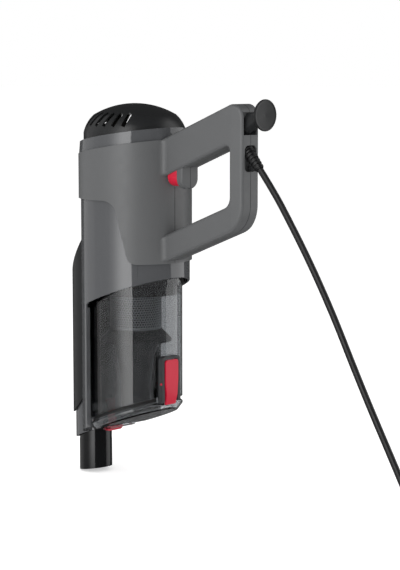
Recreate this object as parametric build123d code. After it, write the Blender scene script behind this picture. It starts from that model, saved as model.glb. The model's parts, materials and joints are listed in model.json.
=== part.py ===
from build123d import *
import math
import os

os.makedirs("parts", exist_ok=True)

# Handheld vacuum, in millimetres. +Z is up along the inlet tube, +X points back to the handle,
# and y = 0 is the plane of symmetry. The origin is on the tube's axis, level with its lowest rim.

# ---------------------------------------------------------------- driving dimensions
BODY_X = 70.0                # motor body's axis, behind the inlet tube's axis
SLOPE = 21.0                 # degrees: rise to the back of arms, skirt edge and lid
CAP_SLOPE = 9.5              # degrees: rise to the back of the exhaust cap's rim
WALL = 2.5                   # wall of the main mouldings
FIT = 0.3                    # gap between mouldings that meet
RUN_FIT = 0.05               # radial gap of a turning pin in its hole
SLIDE_FIT = 0.5              # gap beside a piece that slides or swings

TUBE_R = 19.0                # inlet tube, outside
TUBE_WALL = 2.5
TUBE_TOP = 150.0             # upper end of the inlet tube inside the spine
SPIGOT_LENGTH = 38.0         # part of the tube that a wand or nozzle slides over
RELIEF = 0.2                 # shallow groove round the tube at the collar's slanted end
RELIEF_H = 22.0
MOUTH_SLOPE = 9.0            # degrees: slant of the tube's mouth

SHELL_R = 61.5               # front shell, outside
SHELL_TOP = 325.0            # seam between front shell and housing, at the front
SHELL_TUCK = 6.0             # how far the shell reaches up inside the housing
SEAM_BACK_Z = 255.0          # the same seam, at the back
SEAM_X = 103.0               # where the seam runs down the side
SKIRT_Z = 214.5              # skirt's lower edge, at the body's axis
TONGUE_X = 50.5              # back edge of the tongue that hugs the cup
FOOT_Z = 72.9                # lower edge of tongue and collar, at the body's axis
COLLAR_R = 23.0              # collar round the inlet tube, outside
COLLAR_TOP = 214.0

COVER_R = 26.0               # black duct cover, outside
COVER_BOTTOM = 70.0
COVER_HOOD = (-26.0, 223.0, 279.0)   # front x, its z, and z where the hood meets the shell

HOUSING_R = 64.0             # upper housing, outside
BAND_Z = 381.5               # lower edge of the exhaust band, at the body's axis
CAP_Z = 395.0                # rim of the exhaust cap, at the body's axis
CAP_R = 58.0
CAP_TOP = 431.0
SLOT_COUNT = 21              # exhaust slots round the front of the cap
SLOT_PITCH = 12.6            # degrees
SLOT_W = 4.6

HANDLE_HALF = 15.5           # half the handle's thickness
GRIP_HALF = 13.0             # the same at the grip's back face
GRIP_BACK = 249.0            # grip's back face
GRIP_FRONT = 231.0           # grip's face inside the finger opening
ARM_TOP_Z = 405.0            # upper arm's top, at x = 161
ARM_UNDER_Z = 363.0          # upper arm's underside, at x = 161
LOW_ARM_TOP_Z = 298.0        # lower arm's top, at x = 161
LOW_ARM_UNDER_Z = 268.5      # lower arm's underside, at x = 161
ARM_X = 161.0

CUP_R = 53.0                 # dust cup, outside
CUP_FLAT_X = 31.0            # the cup's flat front wall
CUP_WALL = 2.2
CUP_TOP = 236.0
CUP_RIM_R = 55.4
CUP_RIM_H = 8.0
SEAM_Z = 84.0                # cup and lid part here, at the body's axis
LID_SIDE = 9.0               # height of the lid's side wall
LID_CHAMFER = 6.0            # slant below the side wall
LID_FRONT_X = 44.0

SHROUD_R = 29.0              # mesh shroud of the cyclone
SHROUD_Z = (176.0, 217.0)
FLARE_R = 40.7
CONE_R = 16.5                # lower end of the cone

PORT_W = 26.0                # air port from duct to cup, outside width
PORT_Z = (176.0, 210.0)
PORT_WALL = 2.0
CHUTE_DEPTH = 7.0            # guide behind the port, inside the cup

CORD_R = 3.5
COIL_R = 57.0                # outside radius of the coiled cord
COIL_WIDTH = 30.0            # four turns side by side
COIL_H = 28.5                # four turns on each other

LOOP_START = BODY_X + 40     # the handle's arms start inside the barrel
LOW_CORNER_R = 34.0          # outer corner, lower arm to grip
TOP_CORNER_R = 14.0
LOW_INNER_R = 13.0           # inner corner, lower arm to grip
TOP_INNER_R = 5.0
EDGE_R = 4.0                 # rounding of the handle's outer edges
HOLE_EDGE_R = 4.0            # rounding of the finger opening's edges
CREASE_X = GRIP_FRONT + 4    # the grip narrows from here to its back face
CREASE_R = 15.0
ROOT_FILLET = 8.0            # hollow curve between the arms' sides and the barrel
HOUSING_IN_R = SHELL_R + FIT
STUB_X = (150.0, 158.5)      # finger stub under the upper arm
STUB_HALF = 12.5
STUB_BOTTOM = 338.5
TRIGGER_X = (135.0, 149.3)
TRIGGER_HALF = 12.3
TRIGGER_BOTTOM = 341.0
HOOK_Z = (401.0, 423.0)      # cord hook's foot on the grip's back face
HOOK_FOOT_HALF = 7.5
HOOK_DISC_X = 268.0
HOOK_DISC_Z = 421.0
HOOK_DISC_R = 16.8
BOOT_POCKET_Z = (361.0, 389.0)
POCKET_DEPTH = 11.0
BOOT_START = (243.5, 384.0)  # strain relief's inner end
BOOT_ANGLE = 46.0            # degrees below level
BOOT_LENGTH = 28.0
BOOT_NECK_R = 5.0
SCREW_PLACES = [(184.0, 404.0), (219.0, 403.0), (240.0, 333.0), (196.0, 296.5)]
SCREW_R = 1.5
SCREW_HEAD_R = 3.0
SCREW_SINK = 4.5             # screw head's seat below the handle's side
BOSS_R = 3.9

CAP_CREASE_R = 46.0          # crease between the cap's side and its dome
CAP_CREASE_Z = 418.5
CAP_TUCK = 4.0               # how far the cap reaches down inside the band
SLOT_Z = 413.5
SLOT_H = 15.5

PLATE_Z = (239.5, 242.5)     # intake plate above the cup
FAN_Z = 243.0                # floor of the fan's pan
FAN_R = 44.0
FAN_EYE_R = 18.0
BLADE_COUNT = 9
SHAFT_R = 4.0
BEARING_R = 11.0
STATOR_R = 37.0
STATOR_Z = (291.0, 321.0)
ARMATURE_R = 22.5
COMMUTATOR_R = 11.5
COMMUTATOR_Z = (334.0, 345.0)
UPPER_BEARING_Z = 347.0      # underside of the upper bearing
MOUNT_Z = 343.0              # underside of the motor's upper rubber ring
BRUSH_Z = 339.5
EXHAUST_FILTER_Z = (366.0, 384.0)

LUG_Y = (17.0, 23.0)         # lid hinge's lugs on the cup
LUG_R = 3.1
PIN_R = 1.25                 # hinge pins
LID_HINGE = (40.5, 59.5)     # x and z of the lid's hinge
CATCH_DEPTH = 1.3            # catch on the lid's back, behind the cup's radius
CATCH_HALF = 7.0
NOTCH_HALF = 15.0            # notch in the lid's back for the latch
NOTCH_Z = 94.3
LATCH_Z = (95.0, 146.0)      # latch lever's lower and upper ends
LATCH_HALF = 9.6             # half the latch lever's width at its top
LATCH_FOOT_HALF = 7.4        # the same at its foot
LATCH_TAPER_Z = 124.0        # the lever narrows below this
LATCH_CORNER = 3.5           # rounding of the lever's upper corners
FRAME_CORNER = 5.5           # the same on the frame round it
LATCH_FACE_X = 129.3
LATCH_PIVOT = (126.0, 119.0)
ROCKER_PIVOT = (28.4, 70.5)
ROCKER_LUG_Y = (13.0, 16.0)
ROCKER_CATCH_Z = 86.0
CATCH_TIP_X = 21.4
PAD_X = (26.3, 33.5)
PAD_Z = (52.0, 61.0)
PAD_HALF = 12.5
TRIGGER_TOP = 368.0
LIP_REACH = 3.5              # the trigger's lip, behind its key
PLUNGER_OUT = 1.8            # how far the switch's button stands out
SWITCH_GAP = 1.7             # free travel before the trigger's post meets the button
SPRING_Z = (368.0, 379.0)
SWITCH_LOW = 376.0
SWITCH_X = (TRIGGER_X[1] - 5, TRIGGER_X[1] + 15)
PLUNGER_X = (TRIGGER_X[1] - 1.0, TRIGGER_X[1] + 2.0)

COIL_X = 540.0               # centre of the coil
COIL_Y = 34.0
PLUG_PLACE = (589.6, 95.7, 0.0)
PLUG_TURN = 115.0            # degrees
TIE_TURN = 150.0             # degrees round the coil

RISE = math.tan(math.radians(SLOPE))


# ---------------------------------------------------------------- helpers
def slope_z(x, z_at_body):
    """Height at x of a plane that rises to the back by SLOPE."""
    return z_at_body + (x - BODY_X) * RISE


def half_space(z_at_body, degrees, up):
    """Big block above or below a plane that rises to the back, given at the body's axis."""
    angle = math.radians(degrees)
    plane = Plane(origin=(BODY_X, 0, z_at_body), x_dir=(math.cos(angle), 0, math.sin(angle)),
                  z_dir=(-math.sin(angle), 0, math.cos(angle)))
    side = Align.MIN if up else Align.MAX
    return plane * Box(900, 400, 600, align=(Align.CENTER, Align.CENTER, side))


def disc(radius, z_low, z_high, x=BODY_X, y=0.0):
    """Upright cylinder between two heights."""
    cylinder = Cylinder(radius, z_high - z_low, align=(Align.CENTER, Align.CENTER, Align.MIN))
    return Pos(x, y, z_low) * cylinder


def ring(outer, inner, z_low, z_high, x=BODY_X, y=0.0):
    """Upright tube between two heights."""
    return disc(outer, z_low, z_high, x, y) - disc(inner, z_low - 1, z_high + 1, x, y)


def block(x_range, y_range, z_range):
    """Box given by its low and high corners on each axis."""
    size = [high - low for low, high in (x_range, y_range, z_range)]
    return Pos(x_range[0], y_range[0], z_range[0]) * Box(*size, align=(Align.MIN,) * 3)


def cross_rod(radius, x, z, y_low, y_high):
    """Cylinder along Y."""
    rod = Cylinder(radius, y_high - y_low, align=(Align.CENTER, Align.CENTER, Align.MIN))
    return Pos(x, y_low, z) * Rot(-90, 0, 0) * rod


def side_plate(points, half_width):
    """Prism of an outline in the XZ plane, spread evenly to both sides of y = 0."""
    outline = make_face(Polyline(*[(x, 0, z) for x, z in points], close=True))
    return extrude(outline, half_width, both=True, dir=(0, 1, 0))


def turned(profile, x=BODY_X):
    """Solid of revolution of an (r, z) outline about the upright axis at x."""
    outline = make_face(Polyline(*[(r, 0, z) for r, z in profile], close=True))
    return Pos(x, 0, 0) * revolve(outline, Axis.Z)


def rounded_plate(points, half_width, radii):
    """Side plate whose corners along Y are rounded, each by its own radius (0 leaves it sharp)."""
    plate = side_plate(points, half_width)
    for (x, z), radius in zip(points, radii):
        if radius > 0:
            corner = [edge for edge in plate.edges().filter_by(Axis.Y)
                      if abs(edge.center().X - x) < 0.01 and abs(edge.center().Z - z) < 0.01]
            plate = fillet(corner, radius)
    return plate


def coil_spring(mean_r, wire_r, turns, x, y_low, y_high, z):
    """Torsion spring wound round a cross pin."""
    height = y_high - y_low - 2 * wire_r
    path = Helix(pitch=height / turns, height=height, radius=mean_r)
    start = Plane(origin=path @ 0, z_dir=path % 0)
    wire = sweep(start * Circle(wire_r), path=path, is_frenet=True)
    return Pos(x, y_low + wire_r, z) * Rot(-90, 0, 0) * wire


def write(name, shape):
    """Export one node."""
    export_step(shape, f"parts/{name}.step")


# ---------------------------------------------------------------- inlet duct
def inlet_tube():
    """Spigot that takes the wand or a nozzle, with its slanted mouth."""
    tube = ring(TUBE_R, TUBE_R - TUBE_WALL, -10, TUBE_TOP, x=0)
    tube -= ring(TUBE_R + 1, TUBE_R - RELIEF, SPIGOT_LENGTH, SPIGOT_LENGTH + RELIEF_H, x=0)
    angle = math.radians(MOUTH_SLOPE)
    low = TUBE_R * math.tan(angle)
    plane = Plane(origin=(0, 0, low), x_dir=(math.cos(angle), 0, math.sin(angle)),
                  z_dir=(-math.sin(angle), 0, math.cos(angle)))
    keep = plane * Box(100, 100, 400, align=(Align.CENTER, Align.CENTER, Align.MIN))
    return tube & keep


def port_box(grow, x_low, x_high):
    """Rectangular air port, grown on all sides."""
    half = PORT_W / 2 + grow
    return block((x_low, x_high), (-half, half), (PORT_Z[0] - grow, PORT_Z[1] + grow))


def duct_elbow():
    """Closed upper end of the duct that turns the air back into the cup."""
    top = COLLAR_TOP - 1
    outer = disc(TUBE_R, TUBE_TOP + FIT, top, x=0) + port_box(0, 0, CUP_FLAT_X - 3)
    inner = disc(TUBE_R - TUBE_WALL, TUBE_TOP - 1, top - TUBE_WALL, x=0)
    return outer - inner - port_box(-PORT_WALL, 0, CUP_FLAT_X)


def port_gasket():
    """Rubber frame between the duct's port and the cup's front wall."""
    low, high = CUP_FLAT_X - 3 + 0.05, CUP_FLAT_X - SLIDE_FIT
    return port_box(0, low, high) - port_box(-PORT_WALL, low - 1, high + 1)


def duct_cover():
    """Black cover over the front of the duct, with a hood at its top and a rounded lower end."""
    front, low, high = COVER_HOOD
    back_x = BODY_X - SHELL_R
    lean = (high - low) / (back_x - front)

    def hood(radius, inset):
        edge_z = low - inset * math.hypot(1, lean)
        outline = [(-40, edge_z - (40 + front) * lean), (-40, 0), (14, 0), (14, edge_z + (14 - front) * lean)]
        return disc(radius, 0, 320, x=0) & side_plate(outline, 60)

    cover = hood(COVER_R, 0) - hood(COVER_R - WALL, WALL)
    rest = Edge.make_line((-40, 0, COVER_BOTTOM), (-16, 0, COVER_BOTTOM))
    bend = ThreePointArc((-16, 0, COVER_BOTTOM), (2, 0, COVER_BOTTOM + 14), (13, 0, COVER_BOTTOM + 42))
    frame = Polyline((13, 0, COVER_BOTTOM + 42), (13, 0, 400), (-40, 0, 400), (-40, 0, COVER_BOTTOM))
    keep = extrude(make_face(Wire([rest, bend] + list(frame.edges()))), 60, both=True, dir=(0, 1, 0))
    return (cover & keep) - disc(SHELL_R + 0.1, 0, 320) - disc(COLLAR_R + 0.1, 0, COLLAR_TOP, x=0)


# ---------------------------------------------------------------- front shell
def seam_points(lift):
    """Outline of all that lies below the housing's seam, raised by lift."""
    return [(-80, 0), (220, 0), (220, SEAM_BACK_Z + lift), (SEAM_X + 8 + lift, SEAM_BACK_Z + lift),
            (SEAM_X - 6 + lift, SHELL_TOP + lift), (-80, SHELL_TOP + lift)]


def below_seam(lift):
    """All that lies below the seam, with the seam's two corners rounded."""
    return rounded_plate(seam_points(lift), 120, (0, 0, 0, 9, 16, 0))


def tongue_flange():
    """Ribs inside the tongue's back edges that close the space beside the cup's rim."""
    band = ring(SHELL_R - 0.5, CUP_RIM_R + SLIDE_FIT, 30, SKIRT_Z - 12)
    return band & block((TONGUE_X - WALL, TONGUE_X), (-SHELL_R, SHELL_R), (30, SKIRT_Z))


def front_shell():
    """Front half of the casing: skirt, tongue in front of the cup, and collar round the duct."""
    shell = ring(SHELL_R, SHELL_R - WALL, 30, 360) & below_seam(SHELL_TUCK)
    window = [(TONGUE_X, 20), (220, 20), (220, slope_z(220, SKIRT_Z)), (TONGUE_X, slope_z(TONGUE_X, SKIRT_Z))]
    shell += tongue_flange() & below_seam(SHELL_TUCK)
    shell -= rounded_plate(window, 120, (0, 0, 0, 6))
    collar = disc(COLLAR_R, 30, COLLAR_TOP, x=0)
    bore = disc(TUBE_R + RUN_FIT, 20, COLLAR_TOP + 10, x=0)
    shell = (shell + collar - bore) & half_space(FOOT_Z, SLOPE, up=True)
    shell -= port_box(FIT, 0, 60)
    slot = block((10, 40), (-5.5, 5.5), (20, ROCKER_CATCH_Z + 7))
    return shell - slot


# ---------------------------------------------------------------- housing and handle
def arm_z(x, z_at_arm):
    """Height at x of a face of either arm, given at ARM_X."""
    return z_at_arm + (x - ARM_X) * RISE


def loop_outline(low_z, back_x, high_z):
    """Slanted outline between two faces of the arms, from inside the barrel to back_x."""
    return [(LOOP_START, arm_z(LOOP_START, low_z)), (back_x, arm_z(back_x, low_z)),
            (back_x, arm_z(back_x, high_z)), (LOOP_START, arm_z(LOOP_START, high_z))]


def handle_block(inset):
    """Outer block of the D handle, moved inwards by inset on every face."""
    lift = inset / math.cos(math.radians(SLOPE))
    outline = loop_outline(LOW_ARM_UNDER_Z + lift, GRIP_BACK - inset, ARM_TOP_Z - lift)
    radii = (0, LOW_CORNER_R - inset, TOP_CORNER_R - inset, 0)
    return rounded_plate(outline, HANDLE_HALF - inset, radii) & plan_limit(inset)


def finger_block(outset, half_width):
    """The finger opening, grown by outset on every face."""
    lift = outset / math.cos(math.radians(SLOPE))
    outline = loop_outline(LOW_ARM_TOP_Z - lift, GRIP_FRONT + outset, ARM_UNDER_Z + lift)
    return rounded_plate(outline, half_width, (0, LOW_INNER_R + outset, TOP_INNER_R + outset, 0))


def plan_limit(inset):
    """Upright prism that narrows the grip towards its back face."""
    near = HANDLE_HALF - inset
    far = GRIP_HALF - inset
    points = [(-80, -near), (CREASE_X, -near), (GRIP_BACK, -far), (GRIP_BACK, far),
              (CREASE_X, near), (-80, near)]
    return Pos(0, 0, 200) * extrude(make_face(Polyline(*points, close=True)), 300)


def is_root_edge(edge):
    """True for an upright edge where the handle's side meets the barrel."""
    points = [edge @ t for t in (0.0, 0.5, 1.0)]
    on_barrel = all(abs(math.hypot(p.X - BODY_X, p.Y) - HOUSING_R) < 0.05 for p in points)
    at_side = all(abs(abs(p.Y) - HANDLE_HALF) < 0.05 for p in points)
    return on_barrel and at_side and all(p.X > BODY_X + 50 for p in points)


def finger_stub():
    """Tongue under the upper arm that parts the index finger from the others."""
    x_low, x_high = STUB_X
    top = ARM_UNDER_Z + 6
    stub = block((x_low, x_high), (-STUB_HALF, STUB_HALF), (STUB_BOTTOM, top))
    corners = [edge for edge in stub.edges().filter_by(Axis.X) if edge.center().Z < STUB_BOTTOM + 0.01]
    stub = fillet(corners, STUB_HALF - 1)
    back = stub.edges().filter_by(Axis.Z).group_by(Axis.X)[-1]
    return fillet(back, 2.0)


def grip_pockets():
    """Hollows in the grip's back face for the cord hook's foot and the strain relief."""
    hook = block((GRIP_BACK - 2.5, GRIP_BACK + 5), (-10.5, 10.5), (HOOK_Z[0] - 1, HOOK_Z[1] + 1))
    boot = block((GRIP_BACK - POCKET_DEPTH, GRIP_BACK + 5), (-8.8, 8.8), (BOOT_POCKET_Z[0], BOOT_POCKET_Z[1]))
    return hook + fillet(boot.edges().filter_by(Axis.X), 5)


def pocket_floor():
    """Walls round the strain relief's pocket, inside the grip."""
    low, high = BOOT_POCKET_Z
    return block((GRIP_BACK - POCKET_DEPTH - 2.5, GRIP_BACK - 1), (-12, 12), (low - 2.5, high + 2.5))


def screw_bosses():
    """Pillars across the handle that the housing's screws go into."""
    pillars = [cross_rod(BOSS_R, x, z, -HANDLE_HALF + 1, HANDLE_HALF - 1) for x, z in SCREW_PLACES]
    return Compound(pillars)


def screw_holes():
    """Holes for the housing's screws: head, shank and thread."""
    holes = Part()
    for x, z in SCREW_PLACES:
        holes += cross_rod(SCREW_HEAD_R + FIT, x, z, HANDLE_HALF - SCREW_SINK, HANDLE_HALF + 5)
        holes += cross_rod(SCREW_R + RUN_FIT, x, z, -HANDLE_HALF + 3, HANDLE_HALF)
    return holes


def switch_ribs():
    """Ribs in the upper arm: a seat for the trigger's spring and a shelf for the switch."""
    spring_x = sum(TRIGGER_X) / 2 - 2
    width = (-HANDLE_HALF + 1, HANDLE_HALF - 1)
    seat = block((spring_x - 6, spring_x + 3.9), width, (SPRING_Z[1] + 0.05, SPRING_Z[1] + 2))
    peg = disc(1.8, SPRING_Z[1] - 3, SPRING_Z[1] + 0.1, x=spring_x)
    shelf = block((TRIGGER_X[1] + 4, SWITCH_X[1]), width, (SWITCH_LOW - 2, SWITCH_LOW))
    return seat + peg + shelf


def trigger_slot():
    """Opening in the upper arm's underside that the trigger slides through."""
    low, high = TRIGGER_X
    return block((low - SLIDE_FIT, high + SLIDE_FIT), (-TRIGGER_HALF - SLIDE_FIT, TRIGGER_HALF + SLIDE_FIT),
                 (ARM_UNDER_Z - 20, ARM_UNDER_Z + 3))


def handle_loop():
    """D handle with its finger opening, its plan softened where the grip narrows."""
    outer = handle_block(0)
    crease = [edge for edge in outer.edges().filter_by(Axis.Z) if abs(edge.center().X - CREASE_X) < 0.1]
    outer = fillet(crease, CREASE_R)
    hole = finger_block(0, HANDLE_HALF + 5) - disc(HOUSING_R, 200, 500)
    return outer - hole - disc(HOUSING_R - 1, 200, 500)


def side_edges(shape):
    """Outline edges of the handle's two sides, without the upright ones inside the outline."""
    picked = []
    for edge in shape.edges():
        points = [edge @ t for t in (0.0, 0.25, 0.5, 0.75, 1.0)]
        beside = min(abs(p.Y) for p in points) > GRIP_HALF - 0.6 and points[0].Y * points[-1].Y > 0
        beyond = max(math.hypot(p.X - BODY_X, p.Y) for p in points) > HOUSING_R + 0.1
        near = points[2].X > BODY_X + HOUSING_R - 8 and max(abs(p.Y) for p in points) < HANDLE_HALF + 9
        upright = abs(points[0].X - points[-1].X) < 0.6 and abs(points[0].Z - points[-1].Z) > 2
        inside = points[2].X < GRIP_BACK - 1 and abs(points[2].X - GRIP_FRONT) > 0.1
        if beside and beyond and near and not (upright and inside):
            picked.append(edge)
    return picked


def is_hole_edge(edge):
    """True for an edge of the finger opening."""
    hole = finger_block(0, HANDLE_HALF + 20)
    return hole.distance_to(Vertex(*(edge @ 0.5))) < 0.03


def housing_skin():
    """Barrel and handle in one, with hollow curves at the arms' roots and rounded edges."""
    barrel = disc(HOUSING_R, 200, 500) - below_seam(0)
    skin = barrel + handle_loop()
    skin = fillet([edge for edge in skin.edges() if is_root_edge(edge)], ROOT_FILLET)
    skin = fillet([edge for edge in side_edges(skin) if not is_hole_edge(edge)], EDGE_R)
    skin = fillet([edge for edge in side_edges(skin) if is_hole_edge(edge)], HOLE_EDGE_R)
    return skin - (disc(HOUSING_R + 0.01, 200, 510) & half_space(BAND_Z, CAP_SLOPE, up=True))


def housing():
    """Upper housing with its handle, before it is parted down the middle."""
    core = disc(HOUSING_IN_R, 200, 460)
    arm_core = handle_block(WALL) - finger_block(WALL, HANDLE_HALF + 5)
    arm_core &= block((BODY_X + 40, GRIP_BACK), (-HANDLE_HALF, HANDLE_HALF), (200, 460))
    shell = housing_skin() - core - arm_core
    inner = (pocket_floor() + screw_bosses() + switch_ribs()) & handle_block(1.5)
    shell = shell + (inner - finger_block(1.5, HANDLE_HALF + 5)) + (finger_stub() - arm_core)
    return shell - grip_pockets() - screw_holes() - trigger_slot() - boot_bore() - hook_bore()


def boot_bore():
    """Way for the strain relief's neck through the pocket's wall into the grip."""
    return cross_tube_xz(BOOT_NECK_R + RUN_FIT, BOOT_START, BOOT_ANGLE, -12, 6)


def cross_tube_xz(radius, start, degrees, low, high):
    """Cylinder in the plane of symmetry that points back and down by degrees."""
    x, z = start
    rod = Cylinder(radius, high - low, align=(Align.CENTER, Align.CENTER, Align.MIN))
    return Pos(x, 0, z) * Rot(0, 90 + degrees, 0) * Pos(0, 0, low) * rod


def hook_bore():
    """Hole for the cord hook's screw."""
    return Pos(GRIP_BACK, 0, sum(HOOK_Z) / 2) * Rot(0, -90, 0) * Cylinder(2.05, 30)


def half(shape, side):
    """Left (-1) or right (+1) half of a shape."""
    y_range = (-200, 0) if side < 0 else (0, 200)
    return shape & block((-200, 500), y_range, (0, 600))


def housing_screws():
    """Screws that draw the housing's halves together, driven from the right."""
    screws = []
    for x, z in SCREW_PLACES:
        shank = cross_rod(SCREW_R, x, z, -HANDLE_HALF + 4, HANDLE_HALF - SCREW_SINK + 1)
        head = cross_rod(SCREW_HEAD_R, x, z, HANDLE_HALF - SCREW_SINK, HANDLE_HALF - SCREW_SINK + 2.2)
        drive = cross_rod(1.2, x, z, HANDLE_HALF - SCREW_SINK + 0.8, HANDLE_HALF + 5)
        screws.append(shank + head - drive)
    return Compound(screws)


def exhaust_band():
    """Glossy ring between housing and cap."""
    outer = turned([(0, 360), (HOUSING_R + 0.2, 360), (CAP_R + 2.4, 412), (0, 412)])
    band = outer - disc(CAP_R + FIT, 350, 420)
    band &= half_space(BAND_Z + 0.1, CAP_SLOPE, up=True)
    return band & half_space(CAP_Z, CAP_SLOPE, up=False)


def dome_curve(radius, z, top_z):
    """Arc centred over the axis, from the rim of a dome to its top."""
    rise = top_z - z
    sphere_r = (radius ** 2 + rise ** 2) / (2 * rise)
    middle_z = top_z - sphere_r + math.sqrt(sphere_r ** 2 - radius ** 2 / 4)
    return ThreePointArc((radius, 0, z), (radius / 2, 0, middle_z), (0, 0, top_z))


def cap_section():
    """Half section of the exhaust cap: a bowed side up to a crease, then a low dome."""
    foot_z = CAP_Z - 20
    inner_r = CAP_CREASE_R - WALL * 0.8
    inner_z = CAP_CREASE_Z - WALL * 0.7
    bow = ThreePointArc((CAP_R, 0, CAP_Z + 3), (CAP_R - 3.6, 0, CAP_Z + 13), (CAP_CREASE_R, 0, CAP_CREASE_Z))
    inner_bow = ThreePointArc((CAP_R - WALL, 0, CAP_Z + 3), (CAP_R - WALL - 3.6, 0, CAP_Z + 12.5),
                              (inner_r, 0, inner_z))
    edges = [Line((CAP_R, 0, foot_z), (CAP_R, 0, CAP_Z + 3)), bow,
             dome_curve(CAP_CREASE_R, CAP_CREASE_Z, CAP_TOP), Line((0, 0, CAP_TOP), (0, 0, CAP_TOP - WALL)),
             dome_curve(inner_r, inner_z, CAP_TOP - WALL), inner_bow,
             Line((CAP_R - WALL, 0, CAP_Z + 3), (CAP_R - WALL, 0, foot_z)),
             Line((CAP_R - WALL, 0, foot_z), (CAP_R, 0, foot_z))]
    return make_face(edges)


def cap_slot(degrees):
    """One slanted slot through the cap's side, its top leaning back."""
    lean = 24 if degrees < 180 else -24
    blade = Rot(lean, 0, 0) * Box(24, SLOT_W, SLOT_H)
    return Pos(BODY_X, 0, SLOT_Z) * Rot(0, 0, degrees) * Pos(CAP_R - 6, 0, 0) * blade


def exhaust_cap():
    """Black cap with exhaust slots round its front."""
    cap = Pos(BODY_X, 0, 0) * revolve(cap_section(), Axis.Z)
    cap &= half_space(CAP_Z - CAP_TUCK, CAP_SLOPE, up=True)
    first = 180 - SLOT_PITCH * (SLOT_COUNT - 1) / 2
    for index in range(SLOT_COUNT):
        cap -= cap_slot(first + index * SLOT_PITCH)
    return cap


# ---------------------------------------------------------------- motor
def fan_housing():
    """Pan round the impeller, with the air's eye in its floor."""
    return turned([(FAN_EYE_R, FAN_Z), (FAN_R + 6, FAN_Z), (FAN_R + 6, FAN_Z + 26), (FAN_R + 4, FAN_Z + 26),
                   (FAN_R + 4, FAN_Z + 2), (FAN_EYE_R, FAN_Z + 2)])


def impeller():
    """Closed fan wheel with swept blades."""
    low = FAN_Z + 4
    wheel = ring(FAN_R, FAN_EYE_R - 1, low, low + 1.5) + disc(FAN_R, low + 14, low + 16)
    wheel += disc(9, low + 1, low + 16)
    for index in range(BLADE_COUNT):
        blade = Pos(BODY_X, 0, low + 8) * Rot(0, 0, index * 360 / BLADE_COUNT) * Pos(27, 6, 0)
        wheel += blade * Rot(0, 0, 28) * Box(32, 1.6, 14)
    return (wheel & disc(FAN_R, low, low + 16)) - disc(SHAFT_R, 200, 400)


def diffuser():
    """Fixed vane plate above the impeller."""
    plate = ring(FAN_R + 3.9, 14, FAN_Z + 22, FAN_Z + 25)
    for index in range(12):
        window = Pos(BODY_X, 0, FAN_Z + 23) * Rot(0, 0, index * 30) * Pos(36, 0, 0) * Box(12, 5, 8)
        plate -= window
    return plate


def motor_frame_lower():
    """Pressed cup that carries the lower bearing and the stator."""
    low = FAN_Z + 25.1
    frame = turned([(BEARING_R, low), (FAN_R + 3, low), (FAN_R + 3, low + 2), (STATOR_R + 2, low + 2),
                    (STATOR_R + 2, STATOR_Z[0] + 6), (STATOR_R + 0.1, STATOR_Z[0] + 6),
                    (STATOR_R + 0.1, low + 4), (BEARING_R + 2, low + 4), (BEARING_R + 2, low + 9), (BEARING_R, low + 9)])
    for index in range(4):
        frame -= Pos(BODY_X, 0, low + 2) * Rot(0, 0, index * 90 + 45) * Pos(24, 0, 0) * Cylinder(7, 10)
    return frame


def motor_frame_upper():
    """Pressed cup over the commutator that carries the upper bearing and the brushes."""
    low = STATOR_Z[1] - 6
    high = UPPER_BEARING_Z + 7
    frame = turned([(STATOR_R + 0.1, low), (STATOR_R + 2, low), (STATOR_R + 2, high), (BEARING_R, high),
                    (BEARING_R, high - 7), (BEARING_R + 2, high - 7), (BEARING_R + 2, high - 2),
                    (STATOR_R + 0.1, high - 2)])
    for side in (-1, 1):
        frame -= Pos(BODY_X + side * STATOR_R, 0, BRUSH_Z) * Box(12, 7.4, 9.4)
        frame -= Pos(BODY_X, side * STATOR_R, BRUSH_Z) * Box(26, 12, 12)
    return frame


def bearings():
    """Ball bearings at both ends of the shaft, as plain envelopes."""
    return Compound([ring(BEARING_R, SHAFT_R, low, low + 7) for low in (FAN_Z + 27.1, UPPER_BEARING_Z)])


def stator_core():
    """Laminated stack of the stator with its two poles."""
    core = ring(STATOR_R, ARMATURE_R + 8, *STATOR_Z)
    pole = ring(ARMATURE_R + 8.1, ARMATURE_R + 0.7, *STATOR_Z)
    for side in (-1, 1):
        core += pole & (Pos(BODY_X + side * 27, 0, sum(STATOR_Z) / 2) * Box(20, 26, 60))
    return core


def field_coils():
    """Two copper windings, each round one pole of the stator."""
    gap = ring(ARMATURE_R + 7.9, ARMATURE_R + 0.8, STATOR_Z[0] - 5, STATOR_Z[1] + 5)
    coils = Part()
    for side in (-1, 1):
        spot = Pos(BODY_X + side * 27, 0, sum(STATOR_Z) / 2)
        height = STATOR_Z[1] - STATOR_Z[0]
        coils += (spot * Box(20, 36, height + 10) - spot * Box(30, 26.2, height + 0.2)) & gap
    return coils


def commutator():
    """Copper drum with its gaps between segments."""
    drum = ring(COMMUTATOR_R, SHAFT_R, *COMMUTATOR_Z)
    for index in range(16):
        cut = Pos(BODY_X, 0, sum(COMMUTATOR_Z) / 2) * Rot(0, 0, index * 22.5) * Pos(COMMUTATOR_R, 0, 0)
        drum -= cut * Box(1.6, 0.5, 30)
    return drum


def brush_set(kind):
    """The pair of carbon brushes, or the pair of brass holders round them."""
    pieces = []
    for side in (-1, 1):
        inner = COMMUTATOR_R + 0.3
        carbon = Pos(BODY_X + side * (inner + 7), 0, BRUSH_Z) * Box(14, 5, 7)
        holder = Pos(BODY_X + side * (inner + 14.9), 0, BRUSH_Z) * Box(24.4, 7.4, 9.4)
        holder -= Pos(BODY_X + side * (inner + 13), 0, BRUSH_Z) * Box(26, 5.2, 7.2)
        pieces.append(carbon if kind == "carbon" else holder)
    return Compound(pieces)


def armature_windings():
    """Copper ends of the armature's winding, above and below its core."""
    low, high = STATOR_Z
    return Compound([ring(ARMATURE_R - 2, SHAFT_R, low - 7, low - 0.05),
                     ring(ARMATURE_R - 2, SHAFT_R, high + 0.05, high + 7)])


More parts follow.
